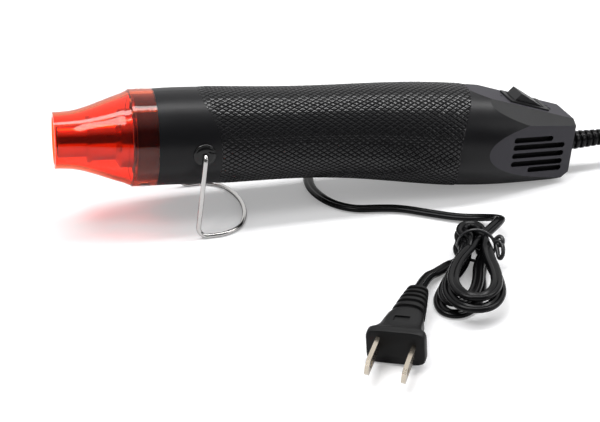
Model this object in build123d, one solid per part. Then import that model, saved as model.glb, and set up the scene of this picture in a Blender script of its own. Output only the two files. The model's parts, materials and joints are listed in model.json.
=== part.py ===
from build123d import *
import math
import os

# Embossing heat tool: a slim hot-air gun lying on its fold-out wire stand and its tail.
# The tool is drawn in its own frame: x runs from the nozzle (-) to the tail (+) along the
# barrel's axis, y across, z up, with zero on the stand's pivot. Then it is tipped by the rest
# pitch and lifted, so that the stand and the tail's pad both touch the floor at z = 0.
# Millimetres and degrees.

# Driving sizes of the whole tool
tool_length = 229.0
barrel_d = 40.6
waist_d = 39.3
belly_d = 45.3
tail_d = 41.2
rest_pitch = 4.0
wall = 2.2
overrun = 1.0
fit_gap = 0.3
span = 2 * tool_length

# Nozzle cover: clear red, flared, with a collar that slides over the housing's neck
cover_length = 40.9
rim_d = 23.4
cover_wall = 1.8
collar_length = 10.4
collar_step = 2.6
collar_bevel = 0.5
neck_length = 8.5
neck_d = 36.4
neck_wall = 2.0
neck_gap = 0.15
pivot_to_seam = 18.4

# Places along the tool that follow from those
seam_x = -pivot_to_seam
rim_x = seam_x - cover_length
tail_x = rim_x + tool_length
body_length = tail_x - seam_x

# Housing outline: share of the body length, radius, drop of the section's centre
belly_drop = 4.2
tail_drop = 5.6
BODY_SHARES = [
    (0.0, barrel_d / 2, 0),
    (0.15, barrel_d / 2, 0),
    (0.316, waist_d / 2, 0.02 * belly_drop),
    (0.49, 0.64 * waist_d / 2 + 0.36 * belly_d / 2, 0.2 * belly_drop),
    (0.62, 0.15 * waist_d / 2 + 0.85 * belly_d / 2, 0.58 * belly_drop),
    (0.72, belly_d / 2, 0.93 * belly_drop),
    (0.85, 0.6 * belly_d / 2 + 0.4 * tail_d / 2, 0.95 * tail_drop),
    (1.0, tail_d / 2, tail_drop),
]

# Flats of the tail: switch deck, its sloping shoulders, the two vent facets, underside, heel
deck_slope = 14.6
deck_end_height = 5.3
deck_width = 17.4
shoulder_angle = 30.0
facet_angle = 13.0
tail_width = 24.4
underside_depth = 23.52
heel_depth = 19.2
heel_angle = 56.0
pad_length = 12.0
pad_width = 14.0
pad_height = 0.6
pad_setback = 8.5

# Vent slots, five in each side facet
slot_count = 5
slot_height = 2.5
slot_pitch = 3.95
slot_tilt = -4.2
slot_front_x = 137.0
slot_rear_x = 165.0
slot_first_drop = 0.15
slot_first_cut = 7.0
slot_last_cut = 9.5

# Stand of spring wire with its two bushes
wire_d = 2.0
stand_half_width = 25.2
stand_side_gap = 2.1
stand_toe = 5.3
foot_share = 0.71
elbow_radius = 2.0
corner_radius = 4.0
bush_flange_d = 9.6
bush_flange_height = 0.9
bush_shank_d = 5.6
bush_depth = 4.6
wire_end_depth = 3.6
running_gap = 0.05

# Heater: stepped steel nozzle tube, steel liner, mica sleeve, crossed mica former, coil
tube_wall = 0.6
nozzle_setback = 1.5
nozzle_d = 14.4
nozzle_length = 11.8
bead_d = 19.2
bead_width = 1.6
throat_d = 17.8
throat_length = 9.9
flare_length = 2.0
skirt_length = 8.5
liner_d = 23.0
liner_length = 71.0
liner_gap = 0.15
sleeve_wall = 0.5
former_width = 15.6
former_sheet = 0.8
former_length = 60.0
coil_wire_d = 0.7
coil_pitch = 4.0
coil_turns = 12
coil_gap = 0.1
ring_thickness = 4.0
front_ring_setback = 1.2
seat_thickness = 2.5
seat_hole_d = 5.4
seat_hole_count = 4
cutout_d = 6.0
cutout_thickness = 3.4
cutout_lead_d = 0.9

# Blower: motor in a four-armed cradle, axial impeller in a short duct
motor_d = 24.0
motor_length = 26.0
motor_x = 78.0
blower_drop = 3.6
motor_boss_d = 8.0
motor_boss_length = 1.6
shaft_d = 2.0
shaft_tail = 3.0
cradle_length = 14.0
cradle_ring = 1.8
cradle_arm = 2.4
cradle_arms = 4
fan_gap = 4.0
fan_length = 12.0
fan_d = 32.0
fan_hub_d = 12.0
fan_blades = 7
fan_blade_sheet = 1.2
fan_blade_pitch = 38.0
duct_gap = 0.6
duct_wall = 0.9
duct_flange = 1.6

# Rectifier board with its diodes and capacitor
board_length = 24.0
board_width = 16.0
board_sheet = 1.2
board_front_x = 126.0
board_drop = 13.4
post_d = 4.0
diode_d = 2.6
diode_length = 5.2
diode_pitch = 4.2
capacitor_d = 6.0
capacitor_height = 5.0

# Rocker switch on the deck
switch_setback = 21.2
bezel_length = 20.0
bezel_width = 13.4
bezel_height = 0.8
switch_length = 18.0
switch_width = 12.0
switch_depth = 11.0
switch_wall = 1.1
rocker_length = 14.4
rocker_width = 9.4
rocker_gap = 0.35
rocker_crest = 4.4
rocker_crest_inset = 1.9
rocker_low = 0.9
rocker_keel = 4.6
rocker_pivot_drop = 1.6
rocker_pin_d = 1.8
terminal_width = 4.8
terminal_sheet = 0.8
terminal_length = 6.0
terminal_pitch = 7.0

# Housing screws and the pillars that they close
screw_places = [(24.0, 1.0), (24.0, -1.0), (128.0, 1.0), (128.0, -1.0)]
pillar_d = 5.2
pillar_inset = 3.0
screw_d = 2.4
screw_length = 10.0
screw_head_d = 4.4
screw_head_height = 1.6
screw_start = 4.5
head_bore_gap = 0.25

# Collar screws
collar_screw_angles = [150.0, 330.0]
collar_screw_d = 2.2
collar_screw_length = 2.6
collar_screw_head_d = 4.6
collar_screw_head_height = 1.1
collar_screw_sink = 1.0
collar_screw_setback = 5.0
cross_slot = 0.5

# Cord gland, clamp and cord
cord_d = 2.8
boot_drop = 9.6
boot_length = 36.0
boot_root_d = 9.2
boot_tip_d = 6.0
boot_core_share = 0.8
boot_ribs = 12
boot_groove_share = 0.42
boot_neck_d = 8.0
boot_head_d = 12.0
boot_head_length = 2.0
boot_neck_gap = 0.35
clamp_x = 158.5
clamp_length = 5.0
clamp_width = 18.0
clamp_height = 3.6
clamp_pillar_y = 6.2
clamp_pillar_d = 4.4
clamp_screw_d = 1.8
clamp_screw_head_d = 3.8
clamp_screw_head_height = 1.3
clamp_screw_depth = 5.0
stub_length = 11.5
lead_d = 1.4
lead_pitch = 4.0
lead_end_pitch = 9.0
lead_end_drop = 5.5
lead_bend = 2.4

# Free cord: points of its run from the boot to the hank, behind and under the tool, and of
# the short lead from the hank to the plug. The first and last runs are set by what they meet.
cord_floor = 1.5
boot_run = 11.5
hank_run = 8.0
CORD_RUN = [
    (157.7, -3.0, 11.5),
    (171.7, -6.0, 5.5),
    (186.7, -4.0, 1.5),
    (196.7, 7.0, 1.5),
    (195.7, 22.0, 1.5),
    (183.7, 32.0, 1.5),
    (167.7, 34.0, 1.5),
    (149.7, 30.0, 1.5),
    (130.7, 27.0, 1.5),
    (111.7, 27.5, 1.5),
    (87.7, 33.0, 1.5),
    (57.7, 42.0, 1.5),
    (27.7, 46.0, 1.5),
    (1.7, 41.0, 1.5),
    (-16.3, 27.0, 1.5),
    (-21.3, 9.0, 1.5),
    (-17.3, -8.0, 1.5),
    (-8.3, -18.0, 1.5),
    (3.2, -20.0, 1.5),
    (12.7, -22.8, 1.5),
    (22.7, -29.8, 1.5),
    (33.7, -37.2, 1.6),
    (42.7, -41.5, 2.5),
    (46.7, -48.5, 5.5),
    (43.5, -57.5, 9.5),
]
PLUG_RUN = [
    (8.7, -78.6, 2.0),
    (1.7, -84.3, 4.5),
]

# Tied hank: centre of its waist, its lie, and the size of its loops. The lower loops are the
# longer and lean to one side, the upper ones to the other, and the bows at the short end lean.
hank_x = 27.4
hank_y = -71.5
hank_turn = -116.6
hank_loops = 4
hank_layer = 3.35
hank_step = 3.3
hank_half_waist = 1.75
lower_loop_length = 38.0
lower_half_width = 5.6
lower_lean = -4.6
upper_loop_length = 44.0
upper_half_width = 8.4
upper_lean = 2.5
loop_length_step = 2.5
half_width_step = 1.6
loop_sag = 0.95
last_loop_share = 0.5
bow_length = 9.5
bow_length_step = 2.0
bow_half_width = 4.4
bow_half_width_step = 0.6
bow_lean = 3.0
side_share = 0.6
tie_sheet = 0.7
tie_width = 2.6
tie_gap = 0.35

# Plug: ribbed boot, tapering body, rounded flange, two flat blades
plug_x = -6.8
plug_y = -98.7
plug_turn = -120.7
plug_roll = 4.5
plug_boot_length = 17.0
plug_boot_d = 7.4
plug_boot_end_d = 11.8
plug_ribs = 5
plug_groove = 0.8
plug_groove_width = 1.4
plug_body_length = 18.4
plug_flange_length = 4.2
plug_flange_width = 20.6
plug_flange_height = 13.4
plug_corner = 4.0
blade_pitch = 12.7
blade_height = 6.35
blade_sheet = 1.5
blade_length = 15.9
blade_hole_d = 3.2
blade_hole_setback = 4.0
blade_root = 3.0

tilt = math.radians(rest_pitch)
deck_tilt = math.radians(deck_slope)


def beyond(x, y, z, normal):
    """Everything on the far side of a plane through a point."""
    return Plane(origin=(x, y, z), z_dir=normal) * Pos(0, 0, span / 2) * Box(span, span, span)


def disc_x(radius, x_from, x_to, z=0):
    """Cylinder along the tool's axis between two stations."""
    middle = Pos((x_from + x_to) / 2, 0, z) * Rot(0, 90, 0)
    return middle * Cylinder(radius, x_to - x_from)


def bar_y(radius, x, z, y_from, y_to):
    """Cylinder across the tool between two sides."""
    return Pos(x, (y_from + y_to) / 2, z) * Rot(90, 0, 0) * Cylinder(radius, y_to - y_from)


def turned(points, z=0):
    """Solid of revolution about the tool's axis from (x, radius) points."""
    outline = Polyline([(x, 0, radius) for x, radius in points], close=True)
    return Pos(0, 0, z) * revolve(make_face(outline), Axis.X)


def tube_along(points, radii, diameter):
    """Round tube along straight runs joined by tangent arcs."""
    path = FilletPolyline(*points, radius=radii)
    start = Plane(origin=path @ 0, z_dir=path % 0)
    return sweep(start * Circle(diameter / 2), path=path)


def corner_radii(points, share=0.45):
    """As large an arc at each corner of a route as its two runs allow."""
    radii = []
    for before, corner, after in zip(points, points[1:], points[2:]):
        run_in = Vector(corner) - Vector(before)
        run_out = Vector(after) - Vector(corner)
        half_turn = math.radians(run_in.get_angle(run_out)) / 2
        radii.append(share * min(run_in.length, run_out.length) / math.tan(half_turn))
    return radii


def biarc(start, start_way, end, end_way):
    """Two arcs that leave one point and reach another along given directions."""
    gap = end - start
    ways = start_way + end_way
    a = 2 * (1 - start_way.dot(end_way))
    b = 2 * gap.dot(ways)
    c = -gap.dot(gap)
    reach = -c / b if abs(a) < 1e-9 else (-b + math.sqrt(b * b - 4 * a * c)) / (2 * a)
    first_corner = start + start_way * reach
    last_corner = end - end_way * reach
    middle = (first_corner + last_corner) / 2
    middle_way = (last_corner - first_corner).normalized()
    return [arc_from(start, start_way, middle), arc_from(middle, middle_way, end)]


def arc_from(start, way, end):
    """Arc, or straight edge, from a point and its direction to another point."""
    if abs((end - start).get_angle(way)) < 1e-4:
        return Line(start, end)
    return TangentArc(start, end, tangent=way)


def wound(nodes, diameter):
    """Tube through (point, direction) nodes, each pair joined by two arcs."""
    edges = []
    for (start, start_way), (end, end_way) in zip(nodes, nodes[1:]):
        edges += [arc.edge() for arc in biarc(start, start_way, end, end_way)]
    path = Wire(edges)
    section = Plane(origin=nodes[0][0], z_dir=nodes[0][1]) * Circle(diameter / 2)
    return sweep(section, path=path), path


def body_form(inset, front_x):
    """The housing's outer form, drawn in all over, from a front station to the tail."""
    sections = []
    for share, radius, drop in BODY_SHARES:
        x = seam_x + share * body_length
        sections.append(Plane(origin=(x, 0, -drop), z_dir=(1, 0, 0)) * Circle(radius - inset))
    form = loft(sections)
    if front_x < seam_x:
        form += disc_x(barrel_d / 2 - inset, front_x, seam_x)
    form -= beyond(tail_x - inset, 0, 0, (1, 0, 0))
    up = (math.sin(deck_tilt), 0, math.cos(deck_tilt))
    deck = deck_end_height - inset * up[2]
    form -= beyond(tail_x - inset * up[0], 0, deck, up)
    fall = math.radians(shoulder_angle)
    turn = math.radians(facet_angle)
    for side in (1, -1):
        shoulder = (
            math.sin(deck_tilt) * math.cos(fall),
            side * math.cos(deck_tilt) * math.sin(fall),
            math.cos(deck_tilt) * math.cos(fall),
        )
        edge = Vector(tail_x, side * deck_width / 2, deck_end_height) - Vector(shoulder) * inset
        form -= beyond(edge.X, edge.Y, edge.Z, shoulder)
        facet = (math.sin(turn), side * math.cos(turn), 0)
        edge = Vector(tail_x, side * tail_width / 2, 0) - Vector(facet) * inset
        form -= beyond(edge.X, edge.Y, edge.Z, facet)
    down = (math.sin(tilt), 0, -math.cos(tilt))
    edge = Vector(tail_x, 0, -underside_depth) - Vector(down) * inset
    form -= beyond(edge.X, edge.Y, edge.Z, down)
    slant = math.radians(heel_angle)
    heel = (math.cos(slant), 0, -math.sin(slant))
    edge = Vector(tail_x, 0, -heel_depth) - Vector(heel) * inset
    form -= beyond(edge.X, edge.Y, edge.Z, heel)
    return form


def on_deck(u, v=0, w=0):
    """Location on the switch deck: u rearwards from the switch's middle, v across, w up."""
    x = tail_x - switch_setback
    z = deck_end_height + switch_setback * math.tan(deck_tilt)
    return Pos(x, 0, z) * Rot(0, deck_slope, 0) * Pos(u, v, w)


def underside_at(x):
    """Height of the flat underside at a station."""
    return -underside_depth + (x - tail_x) * math.tan(tilt)


def housing():
    """Both halves of the housing in one, with their pillars, posts and openings."""
    shell = body_form(0, seam_x)
    cavity = body_form(wall, seam_x - overrun)
    shell -= cavity
    neck = disc_x(neck_d / 2, seam_x - neck_length, seam_x + wall)
    bore = disc_x(neck_d / 2 - neck_wall, seam_x - neck_length - overrun, seam_x + wall + overrun)
    shell += neck - bore
    inside = body_form(wall / 2, seam_x)
    for x, side in screw_places:
        pillar = bar_y(pillar_d / 2, x, pillar_z(x, side), -barrel_d / 2, barrel_d / 2)
        shell += pillar & inside
    for y in (clamp_pillar_y, -clamp_pillar_y):
        top = -boot_drop - fit_gap
        base = underside_at(clamp_x)
        height = top - base
        post = Pos(clamp_x, y, base + height / 2) * Cylinder(clamp_pillar_d / 2, height)
        shell += post & inside
    for y in (board_width / 4, -board_width / 4):
        top = -board_drop
        x = board_front_x + board_length / 2
        base = -belly_drop - belly_d / 2
        height = top - base
        post = Pos(x, y, base + height / 2) * Cylinder(post_d / 2, height)
        shell += post & inside
    shell += rest_pad()
    shell -= vent_slots()
    bezel_hole = Box(switch_length + fit_gap, switch_width + fit_gap, 4 * wall)
    shell -= on_deck(0) * bezel_hole
    boot_hole = Cylinder(boot_neck_d / 2 + boot_neck_gap, 4 * wall)
    shell -= Pos(tail_x, 0, -boot_drop) * Rot(0, 90 - rest_pitch, 0) * boot_hole
    bush_hole = bar_y(bush_shank_d / 2, 0, 0, -barrel_d, barrel_d)
    shell -= bush_hole
    for y in (clamp_pillar_y, -clamp_pillar_y):
        depth = clamp_screw_depth + fit_gap
        shell -= Pos(clamp_x, y, -boot_drop - fit_gap - depth / 2) * Cylinder(clamp_screw_d / 2, depth)
    for x, side in screw_places:
        z = pillar_z(x, side)
        head_bore = screw_head_d / 2 + head_bore_gap
        shell -= bar_y(head_bore, x, z, screw_start, barrel_d)
        shell -= bar_y(screw_d / 2, x, z, screw_start - screw_length, barrel_d)
    for angle in collar_screw_angles:
        shell -= collar_place(angle) * Cylinder(collar_screw_d / 2, 2 * neck_d / 4)
    return shell


def pillar_z(x, side):
    """Height of a housing screw above the axis, or below it for side -1."""
    share = (x - seam_x) / body_length
    for low, high in zip(BODY_SHARES, BODY_SHARES[1:]):
        if low[0] <= share <= high[0]:
            part = (share - low[0]) / (high[0] - low[0])
            radius = low[1] + part * (high[1] - low[1])
            drop = low[2] + part * (high[2] - low[2])
    return side * (radius - wall - pillar_inset) - drop


def rest_pad():
    """Low pad under the tail that the tool rests on."""
    x = tail_x - pad_setback - pad_length / 2
    z = underside_at(x)
    pad = Box(pad_length, pad_width, pad_height + wall / 2)
    pad = fillet(pad.edges().filter_by(Axis.Z), pad_length / 4)
    return Pos(x, 0, z) * Rot(0, -rest_pitch, 0) * Pos(0, 0, (wall / 2 - pad_height) / 2) * pad


def vent_slots():
    """Five slots in each vent facet; the first and last are the short ones."""
    cuts = []
    turn = facet_angle
    for index in range(slot_count):
        front = slot_front_x + (slot_last_cut if index == slot_count - 1 else 0)
        rear = slot_rear_x - (slot_first_cut if index == 0 else 0)
        middle = (front + rear) / 2
        length = (rear - front) / math.cos(math.radians(turn))
        lean = (middle - (slot_front_x + slot_rear_x) / 2) * math.tan(math.radians(slot_tilt))
        drop = slot_first_drop + index * slot_pitch + lean
        for side in (1, -1):
            half = tail_width / 2 + (tail_x - middle) * math.tan(math.radians(turn))
            face = Plane(origin=(middle, side * half, -drop), x_dir=(1, 0, 0), z_dir=(0, side, 0))
            place = face.location * Rot(0, turn, 0) * Rot(0, 0, -side * slot_tilt)
            cut = extrude(SlotOverall(length, slot_height), 3 * wall, both=True)
            cuts.append(place * cut)
    return cuts


def half(solid, side):
    """The part of a solid on one side of the tool's middle plane."""
    return solid & (Pos(0, side * span / 2, 0) * Box(span, span, span))


def nozzle_cover():
    """Clear red cover: a near-straight mouth that flares to the collar."""
    collar_x = seam_x - collar_length
    step_x = collar_x - collar_step
    shares = [(0.0, 0.0), (0.12, 0.01), (0.32, 0.1), (0.5, 0.3), (0.7, 0.58), (1.0, 1.0)]
    mouth = rim_d / 2
    flare = barrel_d / 2 - 1.6 * collar_bevel - mouth - collar_step / 3
    outer = [(rim_x + s * (step_x - rim_x), 0, mouth + g * flare) for s, g in shares]
    inner = [(x, 0, r - cover_wall) for x, _, r in outer]
    with BuildPart() as cover:
        with BuildSketch(Plane.XZ):
            with BuildLine():
                Spline([(x, r) for x, _, r in outer])
                Polyline(
                    (outer[-1][0], outer[-1][2]),
                    (collar_x, barrel_d / 2 - collar_bevel),
                    (collar_x + collar_bevel, barrel_d / 2),
                    (seam_x, barrel_d / 2),
                    (seam_x, neck_d / 2 + neck_gap),
                    (collar_x + collar_bevel, neck_d / 2 + neck_gap),
                    (inner[-1][0], inner[-1][2]),
                )
                Spline([(x, r) for x, _, r in reversed(inner)])
                Line((inner[0][0], inner[0][2]), (outer[0][0], outer[0][2]))
            make_face()
        revolve(axis=Axis.X)
    body = cover.part
    for angle in collar_screw_angles:
        body -= collar_place(angle) * Cylinder(collar_screw_d / 2, 2 * neck_d / 4)
        sink = Cylinder(collar_screw_head_d / 2 + fit_gap, 2 * collar_screw_sink)
        body -= collar_place(angle) * sink
    return body


def collar_place(angle):
    """Location on the collar's outer face, z outwards; the angle runs from the top to the left."""
    x = seam_x - collar_screw_setback
    return Pos(x, 0, 0) * Rot(angle, 0, 0) * Pos(0, 0, barrel_d / 2)


def collar_screws():
    """Two cross-head screws that hold the cover to the neck."""
    screws = []
    for angle in collar_screw_angles:
        head = Pos(0, 0, collar_screw_head_height / 2) * Cylinder(
            collar_screw_head_d / 2, collar_screw_head_height
        )
        head = fillet(head.edges().sort_by(Axis.Z)[-1], collar_screw_head_height / 3)
        shank = Pos(0, 0, -collar_screw_length / 2) * Cylinder(
            collar_screw_d / 2, collar_screw_length
        )
        screw = head + shank
        for turn in (0, 90):
            groove = Rot(0, 0, turn) * Box(collar_screw_head_d / 2, cross_slot, cross_slot)
            screw -= Pos(0, 0, collar_screw_head_height) * groove
        screws.append(collar_place(angle) * Pos(0, 0, -collar_screw_sink) * screw)
    return screws


def housing_screws():
    """Four screws that close the halves, from the right side into the left half's pillars."""
    screws = []
    for x, side in screw_places:
        head = Pos(0, 0, screw_head_height / 2) * Cylinder(screw_head_d / 2, screw_head_height)
        head = fillet(head.edges().sort_by(Axis.Z)[-1], screw_head_height / 3)
        shank = Pos(0, 0, -screw_length / 2) * Cylinder(screw_d / 2, screw_length)
        screw = head + shank
        for turn in (0, 90):
            groove = Rot(0, 0, turn) * Box(screw_head_d / 2, cross_slot, cross_slot)
            screw -= Pos(0, 0, screw_head_height) * groove
        screws.append(Pos(x, screw_start, pillar_z(x, side)) * Rot(-90, 0, 0) * screw)
    return screws


def nozzle_tube():
    """Stepped steel tube: straight outlet, bead, throat, flare and a skirt over the liner."""
    x0 = rim_x + nozzle_setback
    x1 = x0 + nozzle_length
    x2 = x1 + bead_width
    x3 = x2 + throat_length
    x4 = x3 + flare_length
    x5 = x4 + skirt_length
    skirt = liner_d / 2 + liner_gap + tube_wall
    outer = [
        (x0, nozzle_d / 2),
        (x1, nozzle_d / 2),
        (x1, bead_d / 2),
        (x2, bead_d / 2),
        (x2, throat_d / 2),
        (x3, throat_d / 2),
        (x4, skirt),
        (x5, skirt),
    ]
    inner = [
        (x5, skirt - tube_wall),
        (x4 + tube_wall, skirt - tube_wall),
        (x3 + tube_wall, throat_d / 2 - tube_wall),
        (x1 + tube_wall, throat_d / 2 - tube_wall),
        (x1 + tube_wall, nozzle_d / 2 - tube_wall),
        (x0, nozzle_d / 2 - tube_wall),
    ]
    return turned(outer + inner)


def liner_start():
    """Front end of the liner, inside the nozzle tube's skirt."""
    lengths = nozzle_setback + nozzle_length + bead_width + throat_length + flare_length
    return rim_x + lengths + 2 * tube_wall


def liner():
    """Steel tube round the element."""
    x = liner_start()
    return disc_x(liner_d / 2, x, x + liner_length) - disc_x(
        liner_d / 2 - tube_wall, x - overrun, x + liner_length + overrun
    )


def mica_sleeve():
    """Thin mica roll that lines the steel liner."""
    x = liner_start() + overrun
    outer = liner_d / 2 - tube_wall - fit_gap / 2
    end = x + former_length + overrun
    return disc_x(outer, x, end) - disc_x(outer - sleeve_wall, x - overrun, end + overrun)


def element_former():
    """Two crossed mica sheets that carry the heating wire."""
    x = liner_start() + 2 * overrun + former_length / 2
    upright = Box(former_length, former_sheet, former_width)
    flat = Box(former_length, former_width, former_sheet)
    return Pos(x, 0, 0) * (upright + flat)


def heating_coil():
    """Resistance wire wound round the crossed sheets, a quarter turn to each pair of arcs."""
    radius = former_width / 2 + coil_gap + coil_wire_d / 2
    x = liner_start() + 2 * overrun + (former_length - coil_turns * coil_pitch) / 2
    rise = coil_pitch / (2 * math.pi * radius)
    nodes = []
    for quarter in range(4 * coil_turns + 1):
        angle = quarter * math.pi / 2 + math.pi / 4
        place = Vector(x + quarter * coil_pitch / 4, radius * math.cos(angle), radius * math.sin(angle))
        way = Vector(rise, -math.sin(angle), math.cos(angle)).normalized()
        nodes.append((place, way))
    return wound(nodes, coil_wire_d)[0]


def heat_ring(x, outer):
    """Insulating ring that centres the hot tube in the housing."""
    hot = liner_d / 2 + liner_gap + (tube_wall if x < seam_x else 0) + liner_gap
    ring = disc_x(outer, x, x + ring_thickness)
    return ring - disc_x(hot, x - overrun, x + ring_thickness + overrun)


def front_ring():
    """Ring inside the neck."""
    x = seam_x - neck_length + front_ring_setback
    return heat_ring(x, neck_d / 2 - neck_wall - fit_gap / 2)


def rear_ring():
    """Ring in the waist, round the liner's rear end, cut to the housing's bore."""
    x = liner_start() + liner_length - 2 * ring_thickness
    return heat_ring(x, barrel_d / 2) & body_form(wall + fit_gap / 2, seam_x)


def element_seat():
    """Perforated disc that closes the liner and holds the former's rear end."""
    x = liner_start() + 2 * overrun + former_length + fit_gap
    disc = disc_x(liner_d / 2 - tube_wall - fit_gap / 2, x, x + seat_thickness)
    ring_r = liner_d / 4 + seat_hole_d / 8
    for index in range(seat_hole_count):
        angle = math.radians(360 / seat_hole_count * index)
        hole = Pos(x, ring_r * math.cos(angle), ring_r * math.sin(angle)) * Rot(0, 90, 0)
        disc -= hole * Cylinder(seat_hole_d / 2, 4 * seat_thickness)
    return disc


def seat_face():
    """Station of the seat's rear face."""
    return liner_start() + 2 * overrun + former_length + fit_gap + seat_thickness


def thermal_cutout():
    """Round cut-out with two short legs on the seat's rear face."""
    x = seat_face()
    part = disc_x(cutout_d / 2, x, x + cutout_thickness)
    for side in (1, -1):
        y = side * cutout_d / 4
        leg = Pos(x + cutout_thickness, y, 0) * Rot(0, 90, 0)
        part += leg * Cylinder(cutout_lead_d / 2, cutout_thickness)
    return part


def motor_can():
    """Small direct-current motor, bored through for its shaft."""
    x = motor_x
    can = disc_x(motor_d / 2, x, x + motor_length, -blower_drop)
    can = fillet(can.edges().filter_by(GeomType.CIRCLE), motor_boss_length / 2)
    for end, way in ((x, -1), (x + motor_length, 1)):
        far = end + way * motor_boss_length
        can += disc_x(motor_boss_d / 2, min(end, far), max(end, far), -blower_drop)
    return can - disc_x(
        shaft_d / 2 + running_gap, x - span / 8, x + span / 8, -blower_drop
    )


def motor_shaft():
    """Steel shaft through the motor, with the impeller on its rear end."""
    front = motor_x - motor_boss_length - shaft_tail
    rear = fan_front() + fan_length
    return disc_x(shaft_d / 2, front, rear, -blower_drop)


def fan_front():
    """Station of the impeller's front face."""
    return motor_x + motor_length + fan_gap


def fan_impeller():
    """Axial impeller: hub and seven pitched blades."""
    x = fan_front()
    hub = disc_x(fan_hub_d / 2, x, x + fan_length, -blower_drop)
    hub = fillet(hub.edges().filter_by(GeomType.CIRCLE).sort_by(Axis.X)[-1], fan_blade_sheet)
    length = (fan_d - fan_hub_d) / 2 + fan_hub_d / 6
    reach = fan_hub_d / 3 + length / 2
    middle = Pos(x + fan_length / 2, 0, -blower_drop)
    for index in range(fan_blades):
        blade = Box(fan_length - fan_blade_sheet, fan_blade_sheet, length)
        turn = Rot(360 / fan_blades * index, 0, 0)
        hub += middle * turn * Pos(0, 0, reach) * Rot(0, 0, fan_blade_pitch) * blade
    hub &= disc_x(fan_d / 2, x, x + fan_length, -blower_drop)
    return hub - disc_x(shaft_d / 2, x - overrun, x + fan_length + overrun, -blower_drop)


def fan_duct():
    """Duct round the impeller with a flange out to the housing."""
    x = fan_front() - overrun
    end = x + fan_length + 2 * overrun
    inner = fan_d / 2 + duct_gap
    duct = disc_x(inner + duct_wall, x, end, -blower_drop)
    duct += disc_x(belly_d / 2, x, x + duct_flange, -blower_drop)
    duct -= disc_x(inner, x - overrun, end + overrun, -blower_drop)
    notch_top = -blower_drop - inner - duct_wall
    notch = Box(4 * duct_flange, lead_pitch + 2 * lead_d, wall + barrel_d / 2)
    duct -= Pos(x, 0, notch_top - (wall + barrel_d / 2) / 2) * notch
    return duct & body_form(wall + fit_gap, seam_x)


def motor_cradle():
    """Ring round the motor with arms out to the housing."""
    x = motor_x + (motor_length - cradle_length) / 2
    ring_r = motor_d / 2 + fit_gap / 2
    cradle = disc_x(ring_r + cradle_ring, x, x + cradle_length, -blower_drop)
    for index in range(cradle_arms):
        angle = 360 / cradle_arms * index + 180 / cradle_arms
        arm = Box(cradle_length, cradle_arm, belly_d / 2)
        middle = Pos(x + cradle_length / 2, 0, -blower_drop)
        cradle += middle * Rot(angle, 0, 0) * Pos(0, 0, belly_d / 4 + motor_d / 4) * arm
    cradle -= disc_x(ring_r, x - overrun, x + cradle_length + overrun, -blower_drop)
    return cradle & body_form(wall + fit_gap, seam_x)


def rectifier_board():
    """Circuit board on the two posts behind the blower."""
    x = board_front_x + board_length / 2
    return Pos(x, 0, -board_drop + board_sheet / 2) * Box(board_length, board_width, board_sheet)


def board_parts():
    """Four diodes and the smoothing capacitor on the board."""
    top = -board_drop + board_sheet
    x = board_front_x + board_length / 4
    parts = []
    for index in range(4):
        y = (index - 1.5) * diode_pitch * 0.9
        parts.append(Pos(x, y, top + diode_d / 2) * Rot(0, 90, 0) * Cylinder(diode_d / 2, diode_length))
    rear = board_front_x + 0.72 * board_length
    parts.append(Pos(rear, 0, top + capacitor_height / 2) * Cylinder(capacitor_d / 2, capacitor_height))
    return parts


def switch_body():
    """Switch case under the deck with its raised bezel and an open top for the rocker."""
    bezel = Pos(0, 0, bezel_height / 2) * Box(bezel_length, bezel_width, bezel_height)
    bezel = fillet(bezel.edges().filter_by(Axis.Z), bezel_height)
    case = Pos(0, 0, -switch_depth / 2) * Box(switch_length, switch_width, switch_depth)
    opening_length = rocker_length + 3 * rocker_gap
    opening_width = rocker_width + 2 * rocker_gap
    depth = switch_depth - 2 * switch_wall + bezel_height
    opening = Pos(0, 0, bezel_height - depth / 2) * Box(opening_length, opening_width, depth)
    pin_bore = bar_y(rocker_pin_d / 2, 0, -rocker_pivot_drop, -switch_width, switch_width)
    return on_deck(0) * (bezel + case - opening - pin_bore)


def switch_rocker():
    """Rocker with its front end up, a keel that swings in the case, and a bore for the pin."""
    half_length = rocker_length / 2
    outline = Polyline(
        (-half_length, 0, bezel_height),
        (-half_length + rocker_crest_inset, 0, rocker_crest),
        (half_length - rocker_gap, 0, rocker_low),
        (half_length, 0, 0),
        (half_length - rocker_low, 0, -rocker_keel / 2),
        (0, 0, -rocker_keel),
        (-half_length + rocker_low, 0, -rocker_keel / 2),
        close=True,
    )
    rocker = extrude(make_face(outline), rocker_width / 2, both=True)
    crest = rocker.edges().filter_by(Axis.Y).sort_by(Axis.Z)[-1]
    rocker = fillet(crest, bezel_height / 2)
    bore = rocker_pin_d / 2 + running_gap
    rocker -= bar_y(bore, 0, -rocker_pivot_drop, -switch_width, switch_width)
    return on_deck(0) * rocker


def rocker_pin():
    """Pin that the rocker swings on, held in the case's side walls."""
    half_width = switch_width / 2
    return on_deck(0) * bar_y(rocker_pin_d / 2, 0, -rocker_pivot_drop, -half_width, half_width)


def switch_terminals():
    """Two brass tabs under the switch case."""
    tabs = []
    for side in (1, -1):
        tab = Box(terminal_sheet, terminal_width, terminal_length)
        tabs.append(on_deck(side * terminal_pitch / 2, 0, -switch_depth - terminal_length / 2) * tab)
    return tabs


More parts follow.
